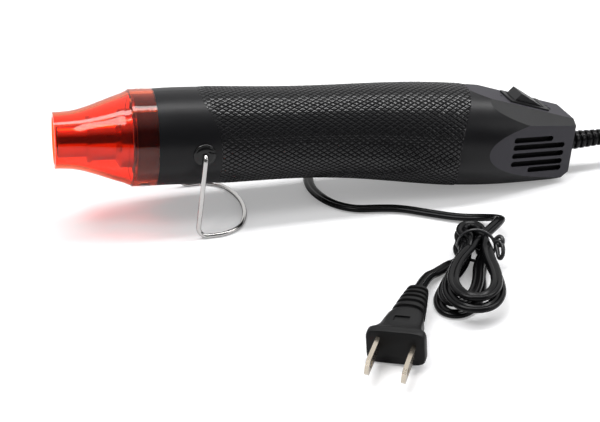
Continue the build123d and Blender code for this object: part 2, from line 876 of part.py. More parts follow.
def pivot_bushes():
    """Two domed bushes in the housing's sides that the stand's wire ends turn in."""
    bushes = []
    for side in (1, -1):
        face_y = barrel_d / 2
        shank = bar_y(bush_shank_d / 2, 0, 0, face_y - bush_depth, face_y)
        seat_y = face_y - wall / 2
        flange = bar_y(bush_flange_d / 2, 0, 0, seat_y, face_y + bush_flange_height)
        outer_edge = flange.edges().filter_by(GeomType.CIRCLE).sort_by(Axis.Y)[-1]
        flange = fillet(outer_edge, 0.8 * bush_flange_height)
        flange -= body_form(0, seam_x)
        bush = shank + flange
        depth = wire_end_depth + fit_gap
        bore_start = face_y + bush_flange_height - depth
        bush -= bar_y(wire_d / 2 + running_gap, 0, 0, bore_start, face_y + barrel_d)
        bushes.append(bush if side > 0 else mirror(bush, Plane.XZ))
    return bushes


def stand_wire(height):
    """Wire stand: two legs from the bushes down to a half-round foot that lies on the floor."""
    half_width = stand_half_width
    elbow_y = barrel_d / 2 + bush_flange_height + stand_side_gap
    end_y = barrel_d / 2 + bush_flange_height - wire_end_depth
    floor = wire_d / 2 - height
    toe = -stand_toe
    leg = FilletPolyline(
        (0, -end_y, 0),
        (0, -elbow_y, 0),
        (toe, -half_width, floor),
        (toe + 2 * corner_radius, -half_width, floor),
        radius=[elbow_radius, corner_radius],
    )
    bend_x = toe + 2 * corner_radius
    foot = half_foot(bend_x, half_width, floor)
    path = Wire(leg.edges() + foot + mirror(leg, Plane.XZ).edges())
    start = Plane(origin=(0, -end_y, 0), z_dir=(0, -1, 0))
    return sweep(start * Circle(wire_d / 2), path=path)


def half_foot(bend_x, half_width, floor):
    """The foot's half ellipse as four tangent arcs."""
    reach = half_width - bend_x + stand_toe * 0.1
    tip = Vector(bend_x + reach * foot_share, 0, floor)
    nodes = [
        (Vector(bend_x, -half_width, floor), Vector(1, 0, 0)),
        (tip, Vector(0, 1, 0)),
        (Vector(bend_x, half_width, floor), Vector(-1, 0, 0)),
    ]
    arcs = []
    for (start, start_way), (end, end_way) in zip(nodes, nodes[1:]):
        arcs += [arc.edge() for arc in biarc(start, start_way, end, end_way)]
    return arcs


def boot_place():
    """Location at the tail face on the cord's axis, x outwards and level when at rest."""
    return Pos(tail_x, 0, -boot_drop) * Rot(0, -rest_pitch, 0)


def cord_boot():
    """Tapered ribbed strain relief with a neck in the tail wall and a head inside it."""
    start = fit_gap + boot_root_d / 2 * math.sin(tilt)
    neck = disc_x(boot_neck_d / 2, boot_head_end(), start + overrun)
    head = disc_x(boot_head_d / 2, boot_head_end(), boot_head_end() + boot_head_length)
    pitch = (boot_length - start) / boot_ribs
    outline = [(start, 0)]
    for index in range(boot_ribs):
        share = index / (boot_ribs - 1)
        full = (boot_root_d + share * (boot_tip_d - boot_root_d)) / 2
        core = boot_core_share * full
        x = start + index * pitch
        outline += [(x, full), (x + pitch * (1 - boot_groove_share), full)]
        if index < boot_ribs - 1:
            outline += [(x + pitch * (1 - boot_groove_share), core), (x + pitch, core)]
    outline += [(boot_length, boot_tip_d / 2), (boot_length, 0)]
    ribbed = turned(outline)
    return boot_place() * (neck + head + ribbed)


def boot_head_end():
    """Inner end of the boot's head, behind the tail wall; the boot leaves the wall at a slant."""
    return -wall - fit_gap - boot_head_d / 2 * math.sin(tilt) - boot_head_length


def cord_stub():
    """Sheathed end of the cord inside the tail, under the clamp."""
    end = boot_head_end()
    return boot_place() * disc_x(cord_d / 2, end - stub_length, end)


def cord_clamp():
    """Bar that presses the cord onto its two pillars."""
    z = -boot_drop - fit_gap + clamp_height / 2
    bar = Pos(clamp_x, 0, z) * Box(clamp_length, clamp_width, clamp_height)
    bar = fillet(bar.edges().filter_by(Axis.Z), clamp_length / 4)
    groove = boot_place() * disc_x(cord_d / 2 + fit_gap / 2, -span / 4, 0)
    for y in (clamp_pillar_y, -clamp_pillar_y):
        bar -= Pos(clamp_x, y, z) * Cylinder(clamp_screw_d / 2, 4 * clamp_height)
    return bar - groove


def clamp_screws():
    """Two screws through the clamp bar into the pillars."""
    screws = []
    top = -boot_drop - fit_gap + clamp_height
    for y in (clamp_pillar_y, -clamp_pillar_y):
        head = Pos(0, 0, clamp_screw_head_height / 2) * Cylinder(
            clamp_screw_head_d / 2, clamp_screw_head_height
        )
        shank_length = clamp_height + clamp_screw_depth
        shank = Pos(0, 0, -shank_length / 2) * Cylinder(clamp_screw_d / 2, shank_length)
        screws.append(Pos(clamp_x, y, top) * (head + shank))
    return screws


def inner_leads():
    """Two leads from the board, under the blower and up to the heater's seat."""
    leads = []
    top = -board_drop + board_sheet + lead_d / 2
    duct_under = -blower_drop - fan_d / 2 - duct_gap - duct_wall - lead_d
    duct_x = fan_front() + fan_length + overrun
    motor_under = -blower_drop - motor_d / 2 - cradle_ring - lead_d - fit_gap
    for side in (1, -1):
        y = side * lead_pitch / 2
        points = [
            (board_front_x + 2 * lead_d, y, top),
            ((board_front_x + duct_x) / 2, y, top),
            ((board_front_x + duct_x) / 2, y, duct_under - lead_d / 2),
            (fan_front() - 2 * overrun, y, duct_under + lead_d / 4),
            (motor_x + 4 * lead_d, y, motor_under),
            (seat_face() + 2 * motor_d / 3, y, lead_end_drop - motor_d / 2 + motor_under / 2),
            (seat_face() + motor_d / 2, side * lead_end_pitch / 2, -lead_end_drop),
            (seat_face() + fit_gap, side * lead_end_pitch / 2, -lead_end_drop),
        ]
        leads.append(tube_along(points, [lead_bend] * 2 + corner_radii(points)[2:], lead_d))
    return leads


def hank_frame():
    """Frame of the hank on the floor: x from its waist to its loops, y across."""
    return Pos(hank_x, hank_y, 0) * Rot(0, 0, hank_turn)


def hank_nodes():
    """Points and directions of the hank's loops, eight to a loop, in the hank's frame.

    The loops spiral in and out, a layer to each. The last one comes round the other way, so
    that the cord leaves on the side away from where it came in.
    """
    base = tie_sheet + tie_gap + cord_d / 2
    nodes = []
    turn_back = 8 * hank_loops - 4
    for index in range(8 * hank_loops + 1):
        loop = index / 8
        layer = min(int(loop), hank_loops - 1)
        back = index >= turn_back
        r = (index - turn_back) / 4 if back else abs(1 - loop % 2)
        waist = hank_half_waist + r * hank_step
        upper = layer >= hank_loops / 2
        reach = (upper_loop_length if upper else lower_loop_length) + r * loop_length_step
        side = (upper_half_width if upper else lower_half_width) + r * half_width_step
        lean = upper_lean if upper else lower_lean
        first_side = -last_loop_share * side if back else side
        bow = bow_length + r * bow_length_step
        bow_side = bow_half_width + r * bow_half_width_step
        way = -1 if back else 1
        places = [
            ((0, (waist if back else -waist), 0), (-1, 0)),
            ((-side_share * bow, -bow_lean - bow_side, 0), (-1, 0)),
            ((-bow - bow_side / 2, -bow_lean, 0), (0, 1)),
            ((-side_share * bow, -bow_lean + bow_side, 0), (1, 0)),
            ((0, waist, 0), (1, 0)),
            ((side_share * reach, lean + first_side, loop_sag), (1, 0)),
            ((reach, lean, loop_sag), (0, -way)),
            ((side_share * reach, lean - way * side, loop_sag), (-1, 0)),
        ]
        (u, v, sag), (du, dv) = places[index % 8]
        z = base + hank_layer * layer - sag
        nodes.append((Vector(u, v, z), Vector(du, dv, 0)))
    return nodes


def cord_hank():
    """The tied hank's loops as one unbroken tube, with a straight end at each side."""
    nodes = hank_nodes()
    first, first_way = nodes[0]
    last, last_way = nodes[-1]
    nodes = [(first - first_way * cord_d, first_way)] + nodes
    nodes.append((last + last_way * cord_d, last_way))
    tube, path = wound(nodes, cord_d)
    print("hank: length", round(path.length, 1), "least gap", round(least_gap(path), 2))
    return hank_frame() * tube


def least_gap(path):
    """Least gap of a wound tube to itself, on points that are far apart along it."""
    count = 900
    points = [path @ (index / count) for index in range(count + 1)]
    apart = int(3 * cord_d / path.length * count) + 1
    best = span
    for i in range(count + 1):
        for j in range(i + apart, count + 1):
            best = min(best, (points[i] - points[j]).length)
    return best - cord_d


def hank_ends():
    """The hank's two end faces: place, and direction out of the hank, in the model's frame."""
    nodes = hank_nodes()
    frame = hank_frame()
    ends = []
    for (place, way), sign in ((nodes[0], -1), (nodes[-1], 1)):
        out = way * sign
        tip = place + out * cord_d
        spot = (frame * Pos(*tip)).position
        beyond_spot = (frame * Pos(*(tip + out))).position
        ends.append((spot, beyond_spot - spot))
    return ends


def cord_tube(name, points):
    """Tube of the cord along a route; prints its radii and its volume against its length."""
    radii = corner_radii(points)
    tube = tube_along(points, radii, cord_d)
    length = FilletPolyline(*points, radius=radii).length
    ratio = tube.volume / (math.pi * cord_d**2 / 4 * length)
    runs = [round((Vector(b) - Vector(a)).length, 1) for a, b in zip(points, points[1:])]
    print(name, "length", round(length, 1), "volume ratio", round(ratio, 4))
    print(name, "radii", [round(radius, 1) for radius in radii], "runs", runs)
    return tube


def cord_run(boot_end):
    """Free cord from the boot's end to the hank."""
    spot, out = hank_ends()[1]
    first = (boot_end.X + boot_run, boot_end.Y, boot_end.Z)
    last = spot + out * hank_run
    points = [tuple(boot_end), first] + CORD_RUN + [tuple(last), tuple(spot)]
    return cord_tube("cord_run", points)


def plug_lead():
    """Free cord from the hank to the plug's boot."""
    spot, out = hank_ends()[0]
    first = spot + out * hank_run / 2
    end = plug_place().position
    before = (plug_place() * Pos(-hank_run, 0, 0)).position
    points = [tuple(spot), tuple(first)] + PLUG_RUN + [tuple(before), tuple(end)]
    return cord_tube("plug_lead", points)


def hank_tie():
    """Wire tie round the hank's waist."""
    nodes = hank_nodes()
    low = tie_sheet / 2
    high = nodes[-1][0].Z + cord_d / 2 + tie_gap + tie_sheet / 2
    reach = hank_half_waist + hank_step + cord_d / 2 + tie_gap + tie_sheet / 2
    corner = cord_d / 2 + tie_gap
    middle = Pos(0, 0, (low + high) / 2)
    outer = Plane.YZ * RectangleRounded(
        2 * reach + tie_sheet, high - low + tie_sheet, corner + tie_sheet
    )
    inner = Plane.YZ * RectangleRounded(2 * reach - tie_sheet, high - low - tie_sheet, corner)
    band = extrude(outer, tie_width / 2, both=True) - extrude(inner, tie_width, both=True)
    return hank_frame() * middle * band


def plug_place():
    """Frame of the plug: x from its boot to its blades, on the plug's axis, a little rolled."""
    roll = math.radians(plug_roll)
    height = plug_flange_width / 2 * math.sin(roll) + plug_flange_height / 2 * math.cos(roll)
    return Pos(plug_x, plug_y, height) * Rot(0, 0, plug_turn) * Rot(-plug_roll, 0, 0)


def plug_body():
    """Moulded plug: ribbed boot, tapering body and rounded flange."""
    boot = loft(
        [
            Plane.YZ * Circle(plug_boot_d / 2),
            Plane.YZ.offset(plug_boot_length) * Circle(plug_boot_end_d / 2),
        ]
    )
    pitch = plug_boot_length / (plug_ribs + 1)
    for index in range(1, plug_ribs + 1):
        x = index * pitch
        radius = (plug_boot_d + (plug_boot_end_d - plug_boot_d) * x / plug_boot_length) / 2
        groove = disc_x(plug_boot_end_d, x - plug_groove_width / 2, x + plug_groove_width / 2)
        boot -= groove - disc_x(radius - plug_groove, x - plug_boot_d, x + plug_boot_d)
    taper = loft(
        [
            Plane.YZ.offset(plug_boot_length)
            * RectangleRounded(plug_boot_end_d, plug_boot_end_d * 0.9, plug_boot_end_d * 0.4),
            Plane.YZ.offset(plug_boot_length + plug_body_length)
            * RectangleRounded(plug_flange_width * 0.88, plug_flange_height * 0.84, plug_corner * 0.9),
        ]
    )
    flange = extrude(
        Plane.YZ.offset(plug_boot_length + plug_body_length)
        * RectangleRounded(plug_flange_width, plug_flange_height, plug_corner),
        plug_flange_length,
    )
    flange = fillet(flange.edges().filter_by(Axis.X, reverse=True), plug_flange_length / 5)
    body = boot + taper + flange
    end = plug_boot_length + plug_body_length + plug_flange_length
    for side in (1, -1):
        pocket = Pos(end, side * blade_pitch / 2, 0) * Box(
            2 * blade_root, blade_sheet, blade_height
        )
        body -= pocket
    return plug_place() * body


def plug_blades():
    """Two flat brass blades with a hole near each tip."""
    end = plug_boot_length + plug_body_length + plug_flange_length
    blades = []
    for side in (1, -1):
        length = blade_length + blade_root
        blade = Box(length, blade_sheet, blade_height)
        tips = blade.edges().filter_by(Axis.Y).sort_by(Axis.X)[-2:]
        blade = chamfer(tips, blade_sheet)
        hole_x = length / 2 - blade_hole_setback
        blade -= Pos(hole_x, 0, 0) * Rot(90, 0, 0) * Cylinder(blade_hole_d / 2, 4 * blade_sheet)
        middle = end - blade_root + length / 2
        blades.append(plug_place() * Pos(middle, side * blade_pitch / 2, 0) * blade)
    return blades


# The tool in its own frame
shell = housing()
pieces = {
    "left_shell": half(shell, -1),
    "right_shell": half(shell, 1),
    "nozzle_cover": nozzle_cover(),
    "collar_screws": collar_screws(),
    "housing_screws": housing_screws(),
    "nozzle_tube": nozzle_tube(),
    "heat_liner": liner(),
    "mica_sleeve": mica_sleeve(),
    "element_former": element_former(),
    "heating_coil": heating_coil(),
    "front_ring": front_ring(),
    "rear_ring": rear_ring(),
    "element_seat": element_seat(),
    "thermal_cutout": thermal_cutout(),
    "motor_can": motor_can(),
    "motor_shaft": motor_shaft(),
    "motor_cradle": motor_cradle(),
    "fan_impeller": fan_impeller(),
    "fan_duct": fan_duct(),
    "rectifier_board": rectifier_board(),
    "board_parts": board_parts(),
    "inner_leads": inner_leads(),
    "switch_body": switch_body(),
    "switch_rocker": switch_rocker(),
    "rocker_pin": rocker_pin(),
    "switch_terminals": switch_terminals(),
    "pivot_bushes": pivot_bushes(),
    "cord_boot": cord_boot(),
    "cord_stub": cord_stub(),
    "cord_clamp": cord_clamp(),
    "clamp_screws": clamp_screws(),
}

# Rest height of the pivot: the pad under the tail touches the floor
pivot_height = tail_x * math.sin(tilt) + underside_depth * math.cos(tilt) + pad_height
lift = Pos(0, 0, pivot_height)
tip = lift * Rot(0, rest_pitch, 0)


def as_solids(piece):
    """A node's solids as one list."""
    items = piece if isinstance(piece, (list, tuple)) else [piece]
    return [solid for item in items for solid in item.solids()]


placed = {}
for name, piece in pieces.items():
    placed[name] = [tip * solid for solid in as_solids(piece)]
placed["stand_wire"] = [lift * solid for solid in as_solids(stand_wire(pivot_height))]

# The origin is under the middle of the tool's own box, without the free cord
box = Compound([solid for solids in placed.values() for solid in solids]).bounding_box()
centre_x = (box.min.X + box.max.X) / 2
placed = {name: [Pos(-centre_x, 0, 0) * s for s in solids] for name, solids in placed.items()}
print("pivot at", round(-centre_x, 3), 0, round(pivot_height, 3))
print("box", box.min.X - centre_x, box.min.Y, box.min.Z, box.max.X - centre_x, box.max.Y, box.max.Z)
boot_end = Pos(-centre_x, 0, 0) * tip * boot_place() * Pos(boot_length, 0, 0)
print("cord leaves at", boot_end.position)

placed["cord_run"] = as_solids(cord_run(boot_end.position))
placed["plug_lead"] = as_solids(plug_lead())
placed["cord_hank"] = as_solids(cord_hank())
placed["hank_tie"] = as_solids(hank_tie())
placed["plug_body"] = as_solids(plug_body())
placed["plug_blades"] = as_solids(plug_blades())

os.makedirs("parts", exist_ok=True)
for name, solids in placed.items():
    node = Compound(solids)
    node.label = name
    print(name, len(solids), round(sum(x.volume for x in solids), 1), all(x.is_valid for x in solids))
    export_step(node, f"parts/{name}.step")
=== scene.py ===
import json
import math

import bmesh
import bpy
from bpy.props import FloatProperty, FloatVectorProperty, IntProperty, PointerProperty
from mathutils import Matrix, Vector
from mathutils.bvhtree import BVHTree


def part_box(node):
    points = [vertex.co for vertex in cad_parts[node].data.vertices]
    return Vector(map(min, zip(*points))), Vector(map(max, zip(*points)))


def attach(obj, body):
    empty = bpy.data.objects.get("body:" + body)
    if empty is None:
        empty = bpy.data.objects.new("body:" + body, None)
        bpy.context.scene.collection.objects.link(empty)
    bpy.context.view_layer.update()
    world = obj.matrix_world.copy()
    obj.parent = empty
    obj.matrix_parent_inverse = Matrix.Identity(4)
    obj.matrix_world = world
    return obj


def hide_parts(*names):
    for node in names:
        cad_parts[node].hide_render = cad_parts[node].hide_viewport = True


bl_info = {
    "name": "Heat tool dresser",
    "version": (1, 0, 0),
    "blender": (4, 5, 0),
    "location": "3D View > Sidebar > Heat tool",
    "description": "Surfaces, grip, cord and stage for a craft heat tool on its wire stand",
    "category": "Object",
}

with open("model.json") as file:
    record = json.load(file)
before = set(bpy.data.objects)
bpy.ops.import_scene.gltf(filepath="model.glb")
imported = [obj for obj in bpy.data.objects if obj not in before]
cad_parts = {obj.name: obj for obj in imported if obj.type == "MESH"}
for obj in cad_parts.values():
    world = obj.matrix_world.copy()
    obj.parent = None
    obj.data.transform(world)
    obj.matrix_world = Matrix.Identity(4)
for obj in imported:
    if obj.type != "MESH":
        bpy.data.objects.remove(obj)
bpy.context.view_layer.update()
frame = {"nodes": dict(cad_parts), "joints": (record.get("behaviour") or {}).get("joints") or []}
joints = {joint["name"]: joint for joint in frame["joints"]}
surfaces = {}
MM = 0.001

# The tool's own frame: x from the nozzle to the tail along the barrel, zero at the stand's pivot
pivot = Vector(joints["stand_fold"]["pos_m"])
along = Vector(joints["fan_spin"]["axis"]).normalized()
across = Vector((0, 1, 0))
upward = along.cross(across)
tool_place = Matrix((along, across, upward)).transposed().to_4x4()
tool_place.translation = pivot

# The tail: slope of the deck and of the vent facets in degrees, its end face, half its width there,
# and the middle of the switch on the deck. A face belongs to a flat when the cosine between their
# normals is over SAME_WAY
DECK_SLOPE = 14.6
FACET_ANGLE = 13.0
SAME_WAY = 0.9997
TAIL_END = 169.7 * MM
TAIL_HALF_WIDTH = 12.2 * MM
SWITCH_STATION = 148.5 * MM
SWITCH_HEIGHT = 10.82 * MM
deck_place = (
    tool_place
    @ Matrix.Translation((SWITCH_STATION, 0, SWITCH_HEIGHT))
    @ Matrix.Rotation(math.radians(DECK_SLOPE), 4, "Y")
)

# The cord's route on the floor, in metres: from the boot to the hank, and from the hank to the plug
CORD_RUN = [
    (0.1577, -0.0030, 0.0115),
    (0.1717, -0.0060, 0.0055),
    (0.1867, -0.0040, 0.0015),
    (0.1967, 0.0070, 0.0015),
    (0.1957, 0.0220, 0.0015),
    (0.1837, 0.0320, 0.0015),
    (0.1677, 0.0340, 0.0015),
    (0.1497, 0.0300, 0.0015),
    (0.1307, 0.0270, 0.0015),
    (0.1117, 0.0275, 0.0015),
    (0.0877, 0.0330, 0.0015),
    (0.0577, 0.0420, 0.0015),
    (0.0277, 0.0460, 0.0015),
    (0.0017, 0.0410, 0.0015),
    (-0.0163, 0.0270, 0.0015),
    (-0.0213, 0.0090, 0.0015),
    (-0.0173, -0.0080, 0.0015),
    (-0.0083, -0.0180, 0.0017),
    (0.0032, -0.0200, 0.0018),
    (0.0127, -0.0228, 0.0018),
    (0.0227, -0.0298, 0.0018),
    (0.0337, -0.0372, 0.0020),
    (0.0427, -0.0415, 0.0030),
    (0.0467, -0.0485, 0.0060),
    (0.0435, -0.0575, 0.0098),
]
PLUG_RUN = [
    (0.0087, -0.0786, 0.0020),
    (0.0017, -0.0843, 0.0045),
]
PLUG_END = (-0.0068, -0.0987, 0.0075)

# How the plug lies: its turn on the floor and the lift of its blades, in degrees
PLUG_TURN = -120.7
PLUG_LIFT = 4.5

# Level of the cord at the tail's end face, in the tool's frame, and how far it runs straight out of
# the boot
CORD_LEVEL = -9.6 * MM
STRAIGHT_OUT = 11.5 * MM

# The hank: its middle on the floor, its turn in degrees, the height of its lowest strands over the
# floor, how far its bows lie to one side, and how far its loops sag
HANK_MIDDLE = (0.0274, -0.0715, 0)
HANK_TURN = -116.6
HANK_CLEARANCE = 1.0 * MM
BOW_SHIFT = 3.0 * MM
LOOP_SAG = 0.8 * MM

# One turn of the hank, waist to waist: shares of the bow's length and half width, then of the
# loop's reach and half width
BOW_SHARES = [(-0.45, -1.0), (-0.95, -0.95), (-1.28, -0.45), (-1.28, 0.45), (-0.95, 0.95), (-0.45, 1.0)]
LOOP_SHARES = [
    (0.28, 0.55),
    (0.58, 0.98),
    (0.84, 1.05),
    (1.02, 0.62),
    (1.07, 0.0),
    (1.02, -0.62),
    (0.84, -1.05),
    (0.58, -0.98),
    (0.28, -0.55),
]

# Size of each loop of the hank from the floor up, in millimetres: reach, half width, lean, and the
# bow's length and half width
LOOPS = [
    (40.5, 7.0, -4.6, 10.5, 4.6),
    (37.5, 5.6, -4.6, 9.0, 4.0),
    (44.5, 9.6, 2.5, 10.0, 4.4),
    (41.5, 8.0, 2.5, 8.5, 3.8),
]

# Where the strands turn on edge: middle and reach along the hank, and their turn in degrees
WAIST_MIDDLE = 1.5 * MM
WAIST_REACH = 8.0 * MM
WAIST_ROLL = 62

# Points between two control points of the cord's line
LINE_STEPS = 12

# The tie in the hank's frame, in mm: half width, half height and middle height of its ring, how far
# the ring sways, the ring's points, and the wire's radius in the ring and in its two twisted ends.
# Then the wire's steps from point to point and its sides in a quarter turn, and the two ends
TIE_HALF_WIDTH = 7.7
TIE_HALF_HEIGHT = 7.3
TIE_LEVEL = 7.7
TIE_SWAY = 0.3
TIE_POINTS = 12
TIE_RING_RADIUS = 0.62
TIE_END_RADIUS = 0.85
WIRE_STEPS = 8
WIRE_SIDES = 3
TIE_LONG_END = [
    (0.3, 7.0, 10.0),
    (0.4, 8.4, 11.2),
    (1.6, 9.8, 11.2),
    (3.6, 10.8, 9.6),
    (5.4, 10.9, 7.2),
    (5.6, 9.8, 5.6),
    (4.2, 8.9, 6.2),
    (2.4, 8.6, 7.8),
    (0.8, 7.8, 9.2),
]
TIE_SHORT_END = [
    (-0.3, 6.8, 10.6),
    (-1.0, 8.2, 12.4),
    (0.0, 9.6, 13.0),
    (1.8, 10.4, 11.8),
    (2.2, 10.0, 9.8),
    (1.2, 8.8, 9.4),
    (0.2, 7.6, 10.2),
]

# The boot: length, radius at the tail and at its tip, how deep it starts in the tail, its number of
# ribs, the corners of its outline, the angle in degrees from which its edges look sharp, the share of
# the radius that its core takes at a rib's start and elsewhere, and one rib as shares of its pitch
# and of the radius there
BOOT_LENGTH = 36 * MM
BOOT_ROOT = 4.6 * MM
BOOT_TIP = 3.0 * MM
BOOT_SINK = 3 * MM
BOOT_RIBS = 12
BOOT_CORNERS = 40
BOOT_EDGE = 35
CORE_START = 0.72
CORE_SHARE = 0.74
RIB_SHARES = [
    (0.0, CORE_START),
    (0.16, CORE_SHARE),
    (0.2, 0.94),
    (0.32, 1.0),
    (0.72, 1.0),
    (0.84, 0.94),
    (0.88, CORE_SHARE),
]

# Plug outline from the cord to the blades, in millimetres: distance, half width and half height
PLUG_SECTIONS = [
    (0.0, 3.2, 2.4),
    (0.4, 4.1, 3.0),
    (1.9, 4.3, 3.2),
    (2.2, 3.5, 2.5),
    (3.5, 3.6, 2.6),
    (3.8, 4.6, 3.4),
    (5.4, 4.8, 3.6),
    (5.7, 3.9, 2.8),
    (7.0, 4.0, 2.9),
    (7.3, 5.1, 3.8),
    (8.9, 5.3, 4.0),
    (9.2, 4.3, 3.1),
    (10.5, 4.4, 3.2),
    (10.8, 5.5, 4.2),
    (12.6, 5.7, 4.3),
    (12.9, 4.7, 3.5),
    (14.6, 4.8, 3.6),
    (15.0, 6.0, 4.5),
    (17.2, 6.2, 4.7),
    (17.5, 5.2, 3.9),
    (19.2, 5.3, 4.0),
    (19.6, 6.1, 4.7),
    (22.5, 6.8, 5.0),
    (27.0, 7.2, 5.2),
    (31.0, 7.6, 5.4),
    (33.2, 8.7, 5.7),
    (34.8, 9.8, 6.0),
    (35.2, 9.9, 6.1),
    (35.6, 10.3, 6.5),
    (36.2, 10.55, 6.75),
    (38.8, 10.55, 6.75),
    (39.4, 10.3, 6.5),
    (39.6, 9.9, 6.1),
]

# The plug's section is a rounded rectangle: the power of its outline at the cord and how much it
# grows towards the blades, and in mm where that starts and over what length. Then the corners of the
# outline, and the angle in degrees from which the plug's edges look sharp
ROUND_POWER = 2.6
POWER_GAIN = 3.4
SQUARE_FROM = 17.5
SQUARE_OVER = 17.0
PLUG_CORNERS = 48
PLUG_EDGE = 35

# Shallow panel on top of the plug's body, in mm: size across and along, depth, and where it is
PANEL_WIDTH = 5.6
PANEL_LENGTH = 3.6
PANEL_DEPTH = 0.7
PANEL_LEVEL = 5.3
PANEL_STATION = 28.0

# Dark sheet behind the vents, painted shade that keeps the slots black: middle station and height,
# length, height, thickness, rounding, and its depth behind the facet
SHADE_SHEET_STATION = 151.5 * MM
SHADE_SHEET_LEVEL = -7.9 * MM
SHADE_SHEET_LENGTH = 30.0 * MM
SHADE_SHEET_HEIGHT = 21.0 * MM
SHADE_SHEET_THICKNESS = 0.4 * MM
SHADE_SHEET_ROUNDING = 0.12 * MM
SHADE_SHEET_DEPTH = 2.3 * MM

# Dome of a pivot bush, in mm: height over the bush's face and radius of its rings, then its outer
# radius, the corners of its outline, and the angle in degrees from which its edges look sharp
DOME_RINGS = [(0.2, 3.7), (0.38, 3.1), (0.5, 2.4), (0.56, 1.8), (0.57, 1.5), (0.52, 1.32), (0.38, 1.26)]
DOME_RADIUS = 4.0
DOME_CORNERS = 48
DOME_EDGE = 50

# One pad of the grip, as shares of its long diagonal: its short diagonal, half its width from side to
# side, and its rim before the groove share. The slope takes SLOPE_RISE of the pad's height, and faces
# further out than CUT_FROM of the short diagonal belong to the cut
PAD_WIDTH = 0.55
PAD_HALF = 0.24
PAD_RIM = 0.3
SLOPE_RISE = 0.8
CUT_FROM = 0.34

# Rays that find the housing start RAY_START outside it, and those up and down BESIDE_SEAM to the side
# of its seam. The pads clear it by PAD_CLEARANCE, and corners closer than MERGE_WITHIN are merged
RAY_START = 60 * MM
BESIDE_SEAM = 1 * MM
PAD_CLEARANCE = 0.03 * MM
MERGE_WITHIN = 0.02 * MM

# Marks on the deck, in mm from the switch's middle: the ring and the bar behind the rocker and the
# dot in front of it, and the angle in degrees from which their edges look sharp
MARK_STATION = 12.2
MARK_SIDE = 1.8
RING_RADIUS = 0.95
RING_THICKNESS = 0.22
BAR_SIZE = (2.1, 0.45, 0.4)
BAR_ROUNDING = 0.12
DOT_STATION = -12.0
DOT_RADIUS = 0.7
DOT_SINK = 0.3
MARK_EDGE = 40

# The floor's size in metres, and the lamps: name, place, point that each faces, width and depth in
# metres, and power in watts
FLOOR_SIZE = 8.0
LAMPS = [
    ("overhead", (0.35, 0.07, 0.95), (0.35, -0.02, 0.02), 2.1, 0.2, 13.0),
    ("left", (-0.45, -0.3, 0.9), (-0.05, 0.0, 0.03), 0.4, 0.3, 3.0),
    ("right", (0.8, -0.5, 0.5), (0.05, 0.0, 0.02), 0.5, 0.4, 1.4),
]

# The floor's lift to white where it is seen: its strength near the tool, the distance in metres from
# which it grows by one for each metre, and the most that it grows
NEAR_LIFT = 0.26
LIFT_FROM = 0.35
LIFT_GROWTH = 0.75

# The world: the strength of its light, and how bright gloss sees it at the horizon, and how much
# brighter straight up and to the back
WORLD_LIGHT = 0.34
GLOSS_LEVEL = 0.08
GLOSS_UP = 0.9
GLOSS_BACK = 0.7


class HousingSettings(bpy.types.PropertyGroup):
    """Colours and gloss of the black housing."""

    shell_colour: FloatVectorProperty(
        name="Shell", description="Satin black of the barrel", subtype="COLOR", size=3,
        default=(0.0042, 0.0042, 0.005),
    )
    facet_colour: FloatVectorProperty(
        name="Flats", description="Matte dark grey of the vent facets and the switch deck",
        subtype="COLOR", size=3, default=(0.03, 0.0285, 0.035),
    )
    shell_roughness: FloatProperty(
        name="Shell roughness", description="Roughness of the smooth barrel", default=0.33, min=0, max=1
    )


class GripSettings(bpy.types.PropertyGroup):
    """The cross-cut grip round the waist."""

    pads_round: IntProperty(name="Pads round", description="Pads in one row round the barrel", default=60)
    pad_length: FloatProperty(
        name="Pad length", description="Long diagonal of a pad, along the barrel", default=3.4 * MM,
        unit="LENGTH",
    )
    groove_depth: FloatProperty(
        name="Groove depth", description="Depth of the cuts between the pads", default=0.25 * MM,
        unit="LENGTH",
    )
    groove_share: FloatProperty(
        name="Groove share", description="Share of a pad's half width that slopes into the cut",
        default=0.3, min=0, max=1,
    )
    front_fade: FloatProperty(
        name="Front fade", description="Length over which the pads rise at the front", default=4.0 * MM,
        unit="LENGTH",
    )
    side_front: FloatProperty(
        name="Side front", description="Where the grip starts on the sides", default=7.2 * MM, unit="LENGTH"
    )
    side_rear: FloatProperty(
        name="Side rear", description="Where the grip ends on the sides", default=111.5 * MM, unit="LENGTH"
    )
    top_front_reach: FloatProperty(
        name="Top reach forward", description="How much further forward the grip starts on top",
        default=7.6 * MM, unit="LENGTH",
    )
    top_rear_reach: FloatProperty(
        name="Top reach back", description="How much further back the grip ends on top",
        default=8.5 * MM, unit="LENGTH",
    )
    under_rear_reach: FloatProperty(
        name="Underside reach back", description="How much further back the grip ends underneath",
        default=5.0 * MM, unit="LENGTH",
    )


class CordSettings(bpy.types.PropertyGroup):
    """The flat twin cord, its hank and the tie."""

    width: FloatProperty(name="Width", description="Across both cores", default=4.6 * MM, unit="LENGTH")
    thickness: FloatProperty(
        name="Thickness", description="Across one core", default=2.4 * MM, unit="LENGTH"
    )
    length: FloatProperty(
        name="Length", description="From the boot to the plug", default=0.995, unit="LENGTH"
    )
    layer: FloatProperty(
        name="Layer", description="Height of one layer of loops", default=3.0 * MM, unit="LENGTH"
    )
    half_waist: FloatProperty(
        name="Half waist", description="From the hank's middle to its inner strands", default=2.2 * MM,
        unit="LENGTH",
    )
    waist_step: FloatProperty(
        name="Waist step", description="From an inner strand to an outer one", default=3.2 * MM,
        unit="LENGTH",
    )


